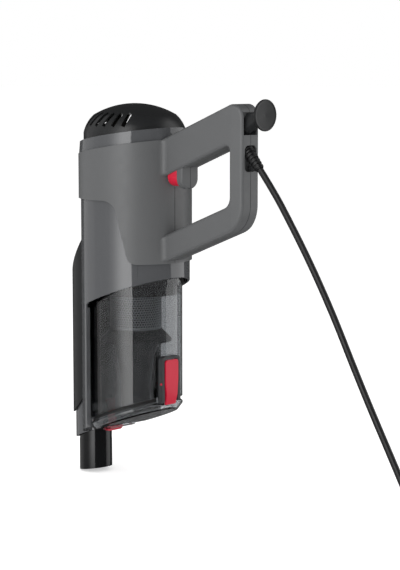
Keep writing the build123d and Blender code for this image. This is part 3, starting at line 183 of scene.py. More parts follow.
# ---------------------------------------------------------------- finishes
@dataclass(frozen=True)
class MouldedPlastic:
    """Injection-moulded ABS or PP, its tool eroded to a grain or polished.

    Faint flow marks keep a large face from looking painted, and the grain breaks up its highlight. A
    parted finish shows the shadow in the joint where two halves meet at the plane of symmetry.
    Lengths are in millimetres. An eroded grain is finer than the render can show, so it is drawn
    coarser, at 0.5 to 3 mm.
    """

    name: str
    colour: str
    shade: str
    roughness: float
    grain_mm: float = 0.9
    grain_depth_mm: float = 0.05
    coat: float = 0.0
    parted: bool = False
    flow_mm: float = 45.0
    touch_mm: float = 9.0
    sheen_spread: float = 0.12
    grain_strength: float = 0.5
    coat_roughness: float = 0.04

    def build(self) -> bpy.types.Material:
        """Makes the material: faint flow mottling, a fine grain and uneven sheen.

        Returns:
            The material.
        """
        material, tree, shader, place = new_material(self.name)
        flow = add_node(tree, "ShaderNodeTexNoise", {
            "Vector": place, "Scale": scale_of(self.flow_mm), "Detail": 3.0, "Roughness": NOISE_ROUGHNESS})
        grain = add_node(tree, "ShaderNodeTexNoise", {
            "Vector": place, "Scale": scale_of(self.grain_mm), "Detail": 2.0, "Roughness": NOISE_ROUGHNESS})
        touch = add_node(tree, "ShaderNodeTexNoise", {
            "Vector": place, "Scale": scale_of(self.touch_mm), "Detail": 2.0, "Roughness": NOISE_ROUGHNESS})
        colour = add_node(tree, "ShaderNodeMix", {
            "Factor": flow.outputs["Fac"], COLOUR_A: linear(self.colour),
            COLOUR_B: linear(self.shade)}, data_type="RGBA").outputs[COLOUR_OUT]
        if self.parted:
            across = add_node(tree, "ShaderNodeSeparateXYZ", {0: place}).outputs["Y"]
            line = add_node(tree, "ShaderNodeMath", {
                0: across, 1: 0.0, 2: PARTING_HALF * MM}, operation="COMPARE")
            colour = add_node(tree, "ShaderNodeMix", {
                "Factor": line.outputs[0], COLOUR_A: colour,
                COLOUR_B: linear(JOINT_SHADOW)}, data_type="RGBA").outputs[COLOUR_OUT]
        spread = self.sheen_spread * self.roughness
        rough = add_node(tree, "ShaderNodeMapRange", {
            "Value": touch.outputs["Fac"], "From Min": NOISE_LOW, "From Max": NOISE_HIGH,
            "To Min": self.roughness - spread, "To Max": self.roughness + spread})
        relief = add_node(tree, "ShaderNodeBump", {
            "Height": grain.outputs["Fac"], "Distance": self.grain_depth_mm * MM,
            "Strength": self.grain_strength})
        feed(tree, shader, {"Base Color": colour, "Roughness": rough.outputs["Result"],
                            "Normal": relief.outputs["Normal"]},
             IOR=PLASTIC_IOR, Coat_Weight=self.coat, Coat_Roughness=self.coat_roughness)
        return material


@dataclass(frozen=True)
class ClearPlastic:
    """Transparent moulded styrene copolymer with a smoky tint.

    Its walls are thin and even, so they tint what is behind them and hardly shift it. The low index
    keeps that straight view, and the coat gives the polished surface its own reflections.
    """

    name: str
    tint: str
    deep_tint: str
    smear_mm: float = 14.0
    flow_mm: float = 60.0
    flow_depth_mm: float = 0.1
    flow_strength: float = 0.2
    haze: float = 0.004
    wall_ior: float = 1.06
    surface_ior: float = 1.55
    surface_roughness: float = 0.02

    def build(self) -> bpy.types.Material:
        """Makes the material: clear, slightly smoky, with fine rub marks and soft flow lines.

        Returns:
            The material.
        """
        material, tree, shader, place = new_material(self.name)
        smear = add_node(tree, "ShaderNodeTexNoise", {
            "Vector": place, "Scale": scale_of(self.smear_mm), "Detail": 3.0, "Roughness": NOISE_ROUGHNESS})
        flow = add_node(tree, "ShaderNodeTexNoise", {
            "Vector": place, "Scale": scale_of(self.flow_mm), "Detail": 0.0, "Roughness": NOISE_ROUGHNESS})
        colour = add_node(tree, "ShaderNodeMix", {
            "Factor": smear.outputs["Fac"], COLOUR_A: linear(self.tint),
            COLOUR_B: linear(self.deep_tint)}, data_type="RGBA")
        rough = add_node(tree, "ShaderNodeMapRange", {
            "Value": smear.outputs["Fac"], "From Min": NOISE_LOW, "From Max": NOISE_HIGH,
            "To Min": 0.0, "To Max": self.haze})
        ripple = add_node(tree, "ShaderNodeBump", {
            "Height": flow.outputs["Fac"], "Distance": self.flow_depth_mm * MM,
            "Strength": self.flow_strength})
        feed(tree, shader, {"Base Color": colour.outputs[COLOUR_OUT], "Roughness": rough.outputs["Result"],
                            "Coat Normal": ripple.outputs["Normal"]},
             IOR=self.wall_ior, Transmission_Weight=1.0, Coat_Weight=1.0, Coat_IOR=self.surface_ior,
             Coat_Roughness=self.surface_roughness)
        return material


class Working(Enum):
    """How a metal's surface was made, as the squeeze of its marks along X, Y and Z."""

    ROLLED = (1.0, 1.0, 1.0)
    TURNED = (1.0, 1.0, 14.0)
    STACKED = (0.02, 0.02, 1.0)
    DRAWN = (3.0, 3.0, 3.0)


@dataclass(frozen=True)
class BareMetal:
    """Steel, aluminium, copper or brass without paint.

    The marks of its working break up its highlight, and a slight tarnish keeps its colour from being
    flat. The marks are drawn coarser than real ones, so that they show.
    """

    name: str
    colour: str
    shade: str
    roughness: float
    working: Working
    line_mm: float = 0.6
    tarnish_mm: float = 7.0
    smooth_share: float = 0.75
    rough_share: float = 1.3
    mark_depth_mm: float = 0.02
    mark_strength: float = 0.6

    def build(self) -> bpy.types.Material:
        """Makes the material: marks of the working, stretched the way the tool ran, and a slight tarnish.

        Returns:
            The material.
        """
        material, tree, shader, place = new_material(self.name)
        run = add_node(tree, "ShaderNodeMapping", {"Vector": place, "Scale": self.working.value})
        marks = add_node(tree, "ShaderNodeTexNoise", {
            "Vector": run.outputs[0], "Scale": scale_of(self.line_mm), "Detail": 3.0,
            "Roughness": NOISE_ROUGHNESS})
        tarnish = add_node(tree, "ShaderNodeTexNoise", {
            "Vector": place, "Scale": scale_of(self.tarnish_mm), "Detail": 3.0, "Roughness": NOISE_ROUGHNESS})
        colour = add_node(tree, "ShaderNodeMix", {
            "Factor": tarnish.outputs["Fac"], COLOUR_A: linear(self.colour),
            COLOUR_B: linear(self.shade)}, data_type="RGBA")
        rough = add_node(tree, "ShaderNodeMapRange", {
            "Value": marks.outputs["Fac"], "From Min": NOISE_LOW, "From Max": NOISE_HIGH,
            "To Min": self.roughness * self.smooth_share, "To Max": self.roughness * self.rough_share})
        relief = add_node(tree, "ShaderNodeBump", {
            "Height": marks.outputs["Fac"], "Distance": self.mark_depth_mm * MM,
            "Strength": self.mark_strength})
        feed(tree, shader, {"Base Color": colour.outputs[COLOUR_OUT], "Roughness": rough.outputs["Result"],
                            "Normal": relief.outputs["Normal"]}, Metallic=1.0)
        return material


@dataclass(frozen=True)
class SoftRubber:
    """Moulded rubber or PVC: matt, with a dusty bloom.

    The bloom lifts its black a little in patches, and the skin texture spreads its highlight.
    """

    name: str
    colour: str
    bloom: str
    roughness: float = 0.6
    bloom_mm: float = 11.0
    skin_mm: float = 0.7
    sheen_spread: float = 0.07
    skin_depth_mm: float = 0.03
    skin_strength: float = 0.5

    def build(self) -> bpy.types.Material:
        """Makes the material: a fine skin texture and a faint paler bloom.

        Returns:
            The material.
        """
        material, tree, shader, place = new_material(self.name)
        cloud = add_node(tree, "ShaderNodeTexNoise", {
            "Vector": place, "Scale": scale_of(self.bloom_mm), "Detail": 4.0, "Roughness": NOISE_ROUGHNESS})
        skin = add_node(tree, "ShaderNodeTexNoise", {
            "Vector": place, "Scale": scale_of(self.skin_mm), "Detail": 2.0, "Roughness": NOISE_ROUGHNESS})
        colour = add_node(tree, "ShaderNodeMix", {
            "Factor": cloud.outputs["Fac"], COLOUR_A: linear(self.colour),
            COLOUR_B: linear(self.bloom)}, data_type="RGBA")
        rough = add_node(tree, "ShaderNodeMapRange", {
            "Value": cloud.outputs["Fac"], "From Min": NOISE_LOW, "From Max": NOISE_HIGH,
            "To Min": self.roughness - self.sheen_spread, "To Max": self.roughness + self.sheen_spread})
        relief = add_node(tree, "ShaderNodeBump", {
            "Height": skin.outputs["Fac"], "Distance": self.skin_depth_mm * MM,
            "Strength": self.skin_strength})
        feed(tree, shader, {"Base Color": colour.outputs[COLOUR_OUT], "Roughness": rough.outputs["Result"],
                            "Normal": relief.outputs["Normal"]}, IOR=PLASTIC_IOR)
        return material


@dataclass(frozen=True)
class Fleece:
    """Filter material: pressed fibres or open foam.

    It has no highlight at all, only cells or clumps that catch light at their rims.
    """

    name: str
    colour: str
    shade: str
    cell_mm: float
    cell_depth_mm: float = 0.5
    roughness: float = 0.95
    fuzz: float = 0.2

    def build(self) -> bpy.types.Material:
        """Makes the material: cells or fibre clumps that catch light at their rims, fully matt.

        Returns:
            The material.
        """
        material, tree, shader, place = new_material(self.name)
        cells = add_node(tree, "ShaderNodeTexVoronoi", {"Vector": place, "Scale": scale_of(self.cell_mm)})
        colour = add_node(tree, "ShaderNodeMix", {
            "Factor": cells.outputs["Distance"], COLOUR_A: linear(self.shade),
            COLOUR_B: linear(self.colour)}, data_type="RGBA")
        relief = add_node(tree, "ShaderNodeBump", {
            "Height": cells.outputs["Distance"], "Distance": self.cell_depth_mm * MM, "Strength": 1.0})
        feed(tree, shader, {"Base Color": colour.outputs[COLOUR_OUT], "Normal": relief.outputs["Normal"]},
             Roughness=self.roughness, Sheen_Weight=self.fuzz)
        return material


# Base colours are a little darker than they look, because soft light adds its own sheen.
FINISHES = {
    # Eroded tool: the light spreads wide over an even middle grey.
    "matte_grey": MouldedPlastic("ABS_eroded_grey", "545556", "595A5B", 0.42, 0.8, 0.03, parted=True),
    # Polished tool: long clean reflections on a darker grey.
    "gloss_grey": MouldedPlastic("ABS_polished_grey", "47484A", "4B4C4E", 0.09, 3.0, 0.003, 0.6),
    # Lightly eroded tool: a soft sheen along the curves of the cap and the duct's cover.
    "black_abs": MouldedPlastic("ABS_satin_black", "1C1D1E", "212223", 0.34, 0.8, 0.015),
    # Polished tool in a waxy plastic: deep black with narrow highlights.
    "black_pp": MouldedPlastic("PP_moulded_black", "0C0C0D", "101112", 0.12, 2.0, 0.004),
    # Matt charcoal that stays dark behind the clear cup.
    "smoke_abs": MouldedPlastic("ABS_charcoal", "26272A", "2D2E30", 0.42, 2.0, 0.01),
    # Satin dark grey, which sets the latch's frame off from the red.
    "latch_grey": MouldedPlastic("ABS_satin_dark_grey", "2C2D2E", "333436", 0.34, 0.9, 0.02),
    # Coloured through: a saturated red with a broad soft highlight.
    "red_abs": MouldedPlastic("ABS_satin_red", "B8142F", "C01A36", 0.36, 0.8, 0.015, 0.1),
    # Pressed resin: dull black with a grain that shows.
    "switch_black": MouldedPlastic("phenolic_black", "1A1A1A", "222120", 0.5, 0.7, 0.02),
    # Pressed powder: rough, dark and almost without sheen.
    "carbon": MouldedPlastic("pressed_carbon", "1B1B1C", "2A2A2C", 0.55, 0.5, 0.05),
    # Moulded clear: what is behind it looks a shade greyer.
    "clear_smoke": ClearPlastic("SAN_smoky_clear", "AAACAE", "A5A7A9"),
    # A lit copy of the same plastic: painted lighter for the light that comes through the lid, so that the
    # cup's floor stays pale.
    "lid_clear_painted_lighter": ClearPlastic("SAN_smoky_clear_lid_painted_light", "CDCFD1", "C8CACC"),
    # Moulded rubber: matt black lines where the cup seals.
    "seal_rubber": SoftRubber("rubber_seal", "161616", "222222"),
    # Softer rubber, duller still.
    "mount_rubber": SoftRubber("rubber_mount", "141414", "1E1E1E", 0.7),
    # Extruded PVC: a slim satin line of light along the cord.
    "cord_pvc": SoftRubber("PVC_cord_jacket", "141415", "1C1C1D", 0.42),
    # Moulded PVC: a little duller than the jacket.
    "plug_pvc": SoftRubber("PVC_plug", "161617", "202021", 0.45),
    # Rubber strap: matt, so it reads apart from the coil it holds.
    "tie_strap": SoftRubber("rubber_strap", "101010", "1A1A1A", 0.6),
    # Pressed fibres: off-white, with a soft grey dip in each clump.
    "filter_media": Fleece("fleece_white", "E2E0D8", "B9B6AC", 0.8),
    # Open foam: dark cells with paler rims.
    "foam": Fleece("foam_charcoal", "4C4D50", "232426", 1.2),
    # Etched sheet: a dull silver between the holes.
    "mesh_steel": BareMetal("etched_steel", "A2A4A6", "8E9092", 0.38, Working.ROLLED),
    # Plated and turned: pale, with fine tool marks.
    "steel_screws": BareMetal("zinc_plated_steel", "B9BBBD", "A4A6A9", 0.3, Working.TURNED),
    # Ground: the brightest steel, with fine grinding marks.
    "bearing_steel": BareMetal("ground_steel", "C2C4C6", "B0B2B5", 0.2, Working.TURNED),
    # Drawn wire: a fine even texture that softens its glint.
    "spring_steel": BareMetal("drawn_steel_wire", "9C9EA0", "8A8C8E", 0.3, Working.DRAWN),
    # Deep-drawn sheet: satin, with faint pressing marks.
    "motor_steel": BareMetal("pressed_steel", "A9ABAD", "989A9C", 0.35, Working.ROLLED, 1.5),
    # Stacked sheets: dark steel with thin level lines in its sheen.
    "lamination_steel": BareMetal("laminated_steel", "6E6C6A", "4E4C4B", 0.45, Working.STACKED, 0.5),
    # Pressed sheet: light and satin.
    "fan_aluminium": BareMetal("pressed_aluminium", "CFD1D3", "BFC1C3", 0.3, Working.ROLLED, 1.2),
    # Varnished wire: deep orange brown with a soft glint.
    "copper_wire": BareMetal("enamelled_copper", "A8572B", "8C4321", 0.35, Working.DRAWN, 0.5),
    # Turned copper: bright orange with fine tool marks.
    "copper_bar": BareMetal("turned_copper", "C47A4E", "A96440", 0.28, Working.TURNED),
    # Pressed sheet: warm yellow, faintly marked.
    "brass_sheet": BareMetal("pressed_brass", "C9A45A", "B08C46", 0.32, Working.ROLLED),
    # Plated and polished: pale warm silver with sharp highlights.
    "pin_brass": BareMetal("nickel_plated_brass", "D0CDC4", "BDB9AF", 0.18, Working.TURNED),
}

# CAD nodes whose finish differs from their slot's.
# The lid's own finish is the cup's clear plastic with painted light: a lighter copy of it.
OWN_FINISH = {"lid": "lid_clear_painted_lighter"}

# Rounding of moulded edges, in millimetres, and the nodes that get it.
EDGE_WIDTHS = {
    0.45: ("housing_left", "housing_right", "front_shell", "exhaust_band", "duct_cover"),
    0.4: ("latch_frame", "latch_lever", "release_rocker", "exhaust_cap"),
}


class Paint:
    """Builds each finish once and puts it on CAD nodes and new pieces."""

    def __init__(self) -> None:
        """Builds every finish."""
        self.materials = {slot: finish.build() for slot, finish in FINISHES.items()}

    def dress_frame(self) -> None:
        """Gives each CAD node the material of its slot, or its own where it has one."""
        for part in frame["record"]["subparts"]:
            node = frame["nodes"][part["node"]]
            material = self.materials[OWN_FINISH.get(part["node"], part["material_slot"])]
            for slot in node.material_slots:
                slot.material = material
            log.info("%s: %s", part["node"], material.name)

    def round_edges(self) -> None:
        """Rounds the moulded edges of CAD nodes, so that seams between mouldings show as fine grooves."""
        for width, nodes in EDGE_WIDTHS.items():
            for name in nodes:
                node = frame["nodes"][name]
                weld = node.modifiers.new("weld", "WELD")
                weld.merge_threshold = WELD_REACH
                bevelled(node, width)
                even = node.modifiers.new("even_normals", "WEIGHTED_NORMAL")
                even.keep_sharp = False
                even.weight = EVEN_WEIGHT

    def dress(self, piece: bpy.types.Object, slot: str) -> None:
        """Gives a new piece the material of a slot.

        Args:
            piece: the new object.
            slot: the record's material slot.
        """
        piece.data.materials.clear()
        piece.data.materials.append(self.materials[slot])
        log.info("%s: %s", piece.name, self.materials[slot].name)


# ---------------------------------------------------------------- cord and its strain relief
@dataclass
class Cord:
    """Mains cord: free run, coil of four rows of four turns, and tail to the plug. Millimetres."""

    diameter: float = 7.0
    boot_tip: Point = (262.95, 0.0, 363.86)
    run: tuple[Point, ...] = (
        (284, 0, 340), (304, 0, 313), (326, 0, 282), (347, 0, 250), (370, 0, 212), (393, 0, 170),
        (417, 0, 128), (442, -1, 88), (468, -6, 52), (496, -17, 25), (526, -25, 10))
    tail: tuple[Point, ...] = (
        (577, -10, 24), (595.2, 4.7, 18), (605.4, 24.8, 8.5), (608, 46, 4.5), (604.3, 64, 6.5))
    centre: tuple[float, float] = (540.0, 34.0)
    middle_radius: float = 42.0
    pitch: float = 7.25
    row_height: float = 7.05
    floor_gap: float = 0.05
    turns_in_row: int = 4
    rows: int = 4
    points_per_turn: int = 18
    start_angle: float = -72.0
    step_share: float = 0.2
    ring_steps: int = 5
    line_steps: int = 6

    def coil_points(self) -> list[Point]:
        """Centreline of the coil: each turn keeps its radius, then steps to the next one.

        Returns:
            Control points in millimetres, a little outside the true radius because the spline cuts in.
        """
        points = []
        grow = 1 / math.cos(math.pi / self.points_per_turn)
        middle = (self.turns_in_row - 1) / 2
        radii = [self.middle_radius + self.pitch * (middle - i) for i in range(self.turns_in_row)]
        places = [(radius, row) for row in range(self.rows)
                  for radius in (radii if row % 2 == 0 else radii[::-1])]
        for index, (radius, row) in enumerate(places):
            following = places[index + 1] if index + 1 < len(places) else (radius, row)
            for step in range(self.points_per_turn):
                share = step / self.points_per_turn
                blend = max(0.0, (share - 1 + self.step_share) / self.step_share)
                angle = math.radians(self.start_angle) + share * math.tau
                reach = (radius + (following[0] - radius) * blend) * grow
                level = row + (following[1] - row) * blend
                height = self.diameter / 2 + self.floor_gap + self.row_height * level
                points.append((self.centre[0] + reach * math.cos(angle),
                               self.centre[1] + reach * math.sin(angle), height))
        return points

    def build(self, paint: Paint) -> bpy.types.Object:
        """Makes the cord as one smooth spline.

        Args:
            paint: the finishes.

        Returns:
            The cord's curve object.
        """
        route = [self.boot_tip, *self.run, *self.coil_points(), *self.tail]
        curve = bpy.data.curves.new("mains_cord", "CURVE")
        curve.dimensions = "3D"
        curve.bevel_depth = self.diameter / 2 * MM
        curve.bevel_resolution = self.ring_steps
        curve.resolution_u = self.line_steps
        spline = curve.splines.new("NURBS")
        spline.points.add(len(route) - 1)
        for point, place in zip(spline.points, route):
            point.co = (*[value * MM for value in place], 1.0)
        spline.order_u = 3
        spline.use_endpoint_u = True
        cord = bpy.data.objects.new("mains_cord", curve)
        bpy.context.scene.collection.objects.link(cord)
        paint.dress(cord, "cord_pvc")
        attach(cord, "root")
        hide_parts("cord_run", "cord_coil")
        return cord

    def length(self, cord: bpy.types.Object) -> float:
        """Measures the cord along its spline.

        Args:
            cord: the cord's curve object.

        Returns:
            Length in metres.
        """
        bare = cord.data.copy()
        bare.bevel_depth = 0
        probe = bpy.data.objects.new("cord_probe", bare)
        mesh = bpy.data.meshes.new_from_object(probe)
        places = [vertex.co for vertex in mesh.vertices]
        total = sum((b - a).length for a, b in zip(places, places[1:]))
        bpy.data.objects.remove(probe)
        bpy.data.meshes.remove(mesh)
        bpy.data.curves.remove(bare)
        return total


def frustum(mesh: bmesh.types.BMesh, radius_low: float, radius_high: float, low: float, high: float,
            matrix: Matrix, sides: int = 40) -> None:
    """Adds a closed tapered cylinder along a matrix's Z axis, sizes in millimetres.

    Args:
        mesh: the bmesh that it is added to.
        radius_low: radius at the low end.
        radius_high: radius at the high end.
        low: where it starts along the axis.
        high: where it ends along the axis.
        matrix: place and direction of the axis.
        sides: faces round it.
    """
    depth = (high - low) * MM
    place = matrix @ Matrix.Translation((0, 0, (high + low) / 2 * MM))
    bmesh.ops.create_cone(mesh, cap_ends=True, segments=sides, radius1=radius_low * MM,
                          radius2=radius_high * MM, depth=depth, matrix=place)


@dataclass
class StrainRelief:
    """Moulded boot: a collar in the grip's pocket, and rings joined by bridges that alternate. Millimetres."""

    start: tuple[float, float] = (243.5, 384.0)
    down: float = 46.0                              # degrees below level
    length: float = 28.0
    collar_radius: float = 7.1
    collar_span: tuple[float, float] = (0.6, 3.0)
    draft: float = 0.2                              # taper of the collar and of each ring
    ring_count: int = 6
    ring_start: float = 4.2
    ring_free: float = 4.0                          # length that no ring takes up
    ring_inset: float = 0.1                         # how far the first ring is inside the collar
    ring_share: float = 0.52                        # of the step from ring to ring
    bridge_inset: float = 1.3
    bridge_width: tuple[float, float] = (1.9, 3.4)
    bridge_share: float = 0.6                       # of a step, with its ends inside two rings
    bridge_drop: float = 0.24                       # of a step, from a ring's foot to a bridge's middle
    neck_radius: float = 5.0
    neck_play: float = 0.05
    neck_span: tuple[float, float] = (-7.9, 1.0)
    core_radius: float = 4.6
    core_flare: float = 0.6
    core_taper: float = 0.3
    tip_radius: float = 5.2
    edge: float = 0.35

    def axis(self) -> Matrix:
        """Matrix whose Z axis points out along the cord."""
        turn = Matrix.Rotation(math.radians(90 + self.down), 4, "Y")
        return Matrix.Translation((self.start[0] * MM, 0, self.start[1] * MM)) @ turn

    def bridges(self, mesh: bmesh.types.BMesh, index: int, radius: float, low: float, step: float) -> None:
        """Adds the two bridges under a ring, a quarter turn from the last two.

        Args:
            mesh: the boot's bmesh.
            index: the ring's number.
            radius: the ring's radius.
            low: the ring's foot along the axis.
            step: distance from ring to ring.
        """
        turn = Matrix.Rotation(math.radians(90 * (index % 2)), 4, "Z")
        across, along = self.bridge_width
        size = Matrix.Diagonal((across * MM, along * MM, step * self.bridge_share * MM, 1))
        for direction in (1, -1):
            reach = direction * (radius - self.bridge_inset) * MM
            place = Matrix.Translation((reach, 0, (low - step * self.bridge_drop) * MM))
            bmesh.ops.create_cube(mesh, size=1, matrix=self.axis() @ turn @ place @ size)

    def build(self, paint: Paint) -> bpy.types.Object:
        """Makes the boot from a tapered core, rings and bridges.

        Args:
            paint: the finishes.

        Returns:
            The boot.
        """
        mesh = bmesh.new()
        axis = self.axis()
        neck = self.neck_radius - self.neck_play
        frustum(mesh, neck, neck, *self.neck_span, axis)
        frustum(mesh, self.core_radius + self.core_flare, self.core_radius - self.core_taper,
                0, self.length - self.core_taper, axis)
        frustum(mesh, self.collar_radius, self.collar_radius - self.draft, *self.collar_span, axis)
        step = (self.length - self.ring_free) / self.ring_count
        shrink = self.collar_radius - self.tip_radius
        for index in range(self.ring_count):
            low = self.ring_start + step * index
            radius = self.collar_radius - self.ring_inset - shrink * index / self.ring_count
            frustum(mesh, radius, radius - self.draft, low, low + step * self.ring_share, axis)
            self.bridges(mesh, index, radius, low, step)
        piece = mesh_piece("strain_relief_boot", mesh, smooth=False)
        bevelled(piece, self.edge)
        paint.dress(piece, "cord_pvc")
        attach(piece, "root")
        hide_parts("strain_relief")
        return piece


# ---------------------------------------------------------------- cyclone shroud
@dataclass
class Shroud:
    """Perforated steel sleeve: rows of round holes, every other row shifted half a pitch. Millimetres."""

    axis_x: float = 70.0
    radius: float = 28.9
    low: float = 176.2
    high: float = 216.8
    holes_round: int = 60
    rows: int = 13
    hole_radius: float = 0.95
    wall: float = 0.6
    margin: float = 3.0
    # the core behind the holes is painted shade: a dark wall where the inside of the shroud is only in shadow
    core_radii: tuple[float, float] = (26.4, 24.6)
    core_ribs: int = 18
    core_inset: float = 0.5
    merge_reach: float = 0.01
    outline: tuple[tuple[int, int], ...] = (
        (-1, -1), (0, -1), (1, -1), (1, 0), (1, 1), (0, 1), (-1, 1), (-1, 0))

    def cell(self, mesh: bmesh.types.BMesh, angle: float, height: float, width: float, rise: float,
             hole: bool) -> None:
        """Adds one cell of the sheet: a square frame round an octagonal hole, or a plain square.

        Args:
            mesh: the sleeve's bmesh.
            angle: the cell's middle round the sleeve, in radians.
            height: the cell's middle above the floor.
            width: the cell's width round the sleeve, in radians.
            rise: the cell's height.
            hole: whether it has its hole.
        """
        outer = [self.on_sleeve(mesh, angle + x * width / 2, height + z * rise / 2) for x, z in self.outline]
        if not hole:
            mesh.faces.new(outer)
            return
        inner = []
        for x, z in self.outline:
            reach = self.hole_radius / math.hypot(x, z)
            inner.append(self.on_sleeve(mesh, angle + x * reach / self.radius, height + z * reach))
        for index in range(len(outer)):
            after = (index + 1) % len(outer)
            mesh.faces.new((outer[index], outer[after], inner[after], inner[index]))

    def on_sleeve(self, mesh: bmesh.types.BMesh, angle: float, height: float) -> bmesh.types.BMVert:
        """Adds a vertex on the sleeve at an angle in radians and a height in millimetres."""
        x = self.axis_x + self.radius * math.cos(angle)
        return mesh.verts.new((x * MM, self.radius * math.sin(angle) * MM, height * MM))

    def build(self, paint: Paint) -> bpy.types.Object:
        """Makes the sleeve with its holes as real openings, and the dark core inside it that paints the shade
        behind them.

        Args:
            paint: the finishes.

        Returns:
            The sleeve.
        """
        mesh = bmesh.new()
        width = math.tau / self.holes_round
        rise = (self.high - self.low - 2 * self.margin) / self.rows
        for row in range(self.rows):
            shift = width / 2 * (row % 2)
            for index in range(self.holes_round):
                height = self.low + self.margin + (row + 0.5) * rise
                self.cell(mesh, index * width + shift, height, width, rise, hole=True)
        for height in (self.low + self.margin / 2, self.high - self.margin / 2):
            for index in range(self.holes_round):
                self.cell(mesh, index * width, height, width, self.margin, hole=False)
        bmesh.ops.remove_doubles(mesh, verts=mesh.verts, dist=self.merge_reach * MM)
        piece = mesh_piece("shroud_sleeve", mesh)
        thick = piece.modifiers.new("sheet", "SOLIDIFY")
        thick.thickness = self.wall * MM
        thick.offset = 0
        paint.dress(piece, "mesh_steel")
        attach(piece, "cup")
        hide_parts("shroud_mesh")
        self.build_shade_backing(paint)
        return piece

    def build_shade_backing(self, paint: Paint) -> bpy.types.Object:
        """Makes the dark ribbed core inside the sleeve: a dark wall of painted shade that shows through its
        holes.

        Args:
            paint: the finishes.

        Returns:
            The core.
        """
        mesh = bmesh.new()
        count = 2 * self.core_ribs
        loops = []
        for height in (self.low + self.core_inset, self.high - self.core_inset):
            loop = []
            for index in range(count):
                angle = math.tau * index / count
                radius = self.core_radii[index % 2]
                place = (self.axis_x + radius * math.cos(angle), radius * math.sin(angle), height)
                loop.append(mesh.verts.new([value * MM for value in place]))
            loops.append(loop)
        for index in range(count):
            after = (index + 1) % count
            mesh.faces.new((loops[0][index], loops[0][after], loops[1][after], loops[1][index]))
        core = mesh_piece("shroud_shade_backing", mesh, smooth=False)
        wall = core.modifiers.new("wall", "SOLIDIFY")
        wall.thickness = self.wall * MM
        # black plastic here is painted shade behind the sleeve's holes
        paint.dress(core, "black_pp")
        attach(core, "cup")
        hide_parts("shroud_mesh")
        return core


# ---------------------------------------------------------------- light, floor and camera
@dataclass(frozen=True)
class Panel:
    """Upright soft light that stands as a chord between two azimuths round the object. Metres, degrees."""

    name: str
    azimuths: tuple[float, float]
    high: float
    radiance: float
    reach: float = 2.2
    low: float = -0.5

    def build(self, centre: tuple[float, float]) -> None:
        """Adds the light, facing the object.

        Args:
            centre: x and y of the point that the azimuths turn about.
        """
        ends = [Vector((centre[0] + self.reach * math.cos(math.radians(a)),
                        centre[1] + self.reach * math.sin(math.radians(a)), 0)) for a in self.azimuths]
        width = (ends[1] - ends[0]).length
        height = self.high - self.low
        data = bpy.data.lights.new(self.name, "AREA")
        data.shape = "RECTANGLE"
        data.size, data.size_y = width, height
        data.energy = self.radiance * math.pi * width * height
        light = bpy.data.objects.new(self.name, data)
        middle = (ends[0] + ends[1]) / 2
        light.location = (middle.x, middle.y, (self.low + self.high) / 2)
        toward = Vector((centre[0], centre[1], 0)) - middle
        light.rotation_euler = toward.to_track_quat("-Z", "Y").to_euler()
        bpy.context.scene.collection.objects.link(light)


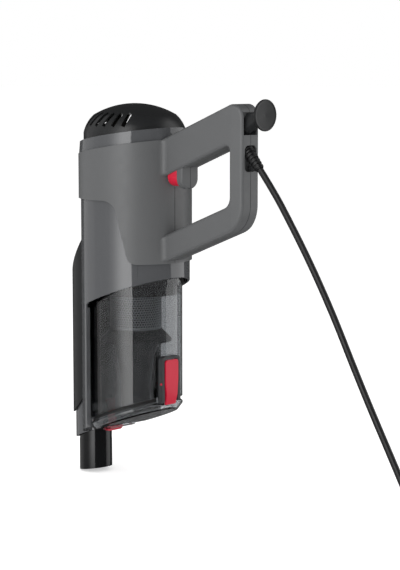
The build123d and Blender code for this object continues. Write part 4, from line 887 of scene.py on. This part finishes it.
@dataclass
class Studio:
    """White floor and room, upright soft lights and the camera. Metres, degrees."""

    eye: Point = (1.5418, -1.3685, 0.4716)
    heading: float = 45.0
    pitch: float = 7.0
    lens_mm: float = 112.34
    sensor_mm: float = 36.0
    sight: float = 200.0
    floor_size: float = 60.0
    floor_glow: float = 0.5
    floor_roughness: float = 0.9
    floor_specular: float = 0.1
    paper_mm: float = 800.0
    ambient: float = 0.58
    mirrored: float = 0.1
    centre: tuple[float, float] = (0.07, 0.0)
    near_edge: float = -51.5
    strip: float = 5.0
    strips: int = 17
    strip_high: float = 3.0
    bright: float = 2.9
    faint: float = 0.3
    hold: float = 14.0
    fade: float = 21.0
    side_panels: tuple[Panel, ...] = (
        Panel("front_panel", (-137, -182), 3.0, 0.4),
        Panel("right_panel", (36, 80), 2.4, 1.0),
    )

    def left_wall(self) -> list[Panel]:
        """Strips of a soft light to the left: brightest at its near edge, and fading to the front.

        Returns:
            The strips, side by side.
        """
        wall = []
        for index in range(self.strips):
            start = self.near_edge - index * self.strip
            beyond = max(0.0, (index + 0.5) * self.strip - self.hold) / self.fade
            radiance = self.faint + (self.bright - self.faint) * math.exp(-beyond ** 2)
            wall.append(Panel(f"left_strip_{index}", (start, start - self.strip), self.strip_high, radiance))
        return wall

    def camera(self) -> None:
        """Puts the camera where the object is seen from its rear left, a little from above."""
        data = bpy.data.cameras.new("camera")
        data.lens = self.lens_mm
        data.sensor_width = self.sensor_mm
        data.clip_end = self.sight
        camera = bpy.data.objects.new("camera", data)
        camera.location = self.eye
        camera.rotation_euler = (math.radians(90 - self.pitch), 0, math.radians(self.heading))
        bpy.context.scene.collection.objects.link(camera)
        bpy.context.scene.camera = camera

    def floor(self) -> None:
        """Lays the pale floor that the cord rests on; glossy parts mirror the dim room instead of it."""
        mesh = bmesh.new()
        bmesh.ops.create_grid(mesh, x_segments=1, y_segments=1, size=self.floor_size / 2)
        floor = mesh_piece("floor", mesh, smooth=False)
        material, tree, shader, place = new_material("pale_paper")
        cloud = add_node(tree, "ShaderNodeTexNoise", {
            "Vector": place, "Scale": scale_of(self.paper_mm), "Detail": 2.0, "Roughness": NOISE_ROUGHNESS})
        colour = add_node(tree, "ShaderNodeMix", {
            "Factor": cloud.outputs["Fac"], COLOUR_A: linear("F6F6F6"), COLOUR_B: linear("FAFAFA")},
            data_type="RGBA")
        feed(tree, shader, {"Base Color": colour.outputs[COLOUR_OUT]}, Roughness=self.floor_roughness,
             Specular_IOR_Level=self.floor_specular, Emission_Color=(1, 1, 1, 1),
             Emission_Strength=self.floor_glow)
        floor.data.materials.append(material)
        floor.visible_glossy = False

    def world(self) -> None:
        """Makes the white room: bright where it is seen, even through the cup, and dim as a mirror image."""
        world = bpy.data.worlds.new("white_room")
        world.use_nodes = True
        tree = world.node_tree
        tree.nodes.clear()
        path = add_node(tree, "ShaderNodeLightPath")
        either = add_node(tree, "ShaderNodeMath", {
            0: path.outputs["Is Camera Ray"], 1: path.outputs["Is Transmission Ray"]}, operation="MAXIMUM")
        seen = add_node(tree, "ShaderNodeMapRange", {
            "Value": either.outputs[0], "From Min": 0.0, "From Max": 1.0,
            "To Min": self.ambient, "To Max": 1.0})
        glossy = add_node(tree, "ShaderNodeMapRange", {
            "Value": path.outputs["Is Glossy Ray"], "From Min": 0.0, "From Max": 1.0,
            "To Min": 1.0, "To Max": self.mirrored})
        strength = add_node(tree, "ShaderNodeMath", {
            0: seen.outputs["Result"], 1: glossy.outputs["Result"]}, operation="MULTIPLY")
        back = add_node(tree, "ShaderNodeBackground", {
            "Color": (1, 1, 1, 1), "Strength": strength.outputs[0]})
        add_node(tree, "ShaderNodeOutputWorld", {"Surface": back.outputs[0]})
        bpy.context.scene.world = world

    def build(self) -> None:
        """Sets up camera, floor, world and lights."""
        self.camera()
        self.floor()
        self.world()
        for panel in (*self.left_wall(), *self.side_panels):
            panel.build(self.centre)
        bpy.context.scene.view_settings.view_transform = "Standard"


def main() -> None:
    """Builds the pieces in order."""
    Studio().build()
    paint = Paint()
    cord_kind = Cord()
    cord = cord_kind.build(paint)
    length = cord_kind.length(cord)
    log.info("cord length %.3f m", length)
    boot = StrainRelief().build(paint)
    Shroud().build(paint)
    paint.dress_frame()
    paint.round_edges()


if __name__ == "__main__":
    main()
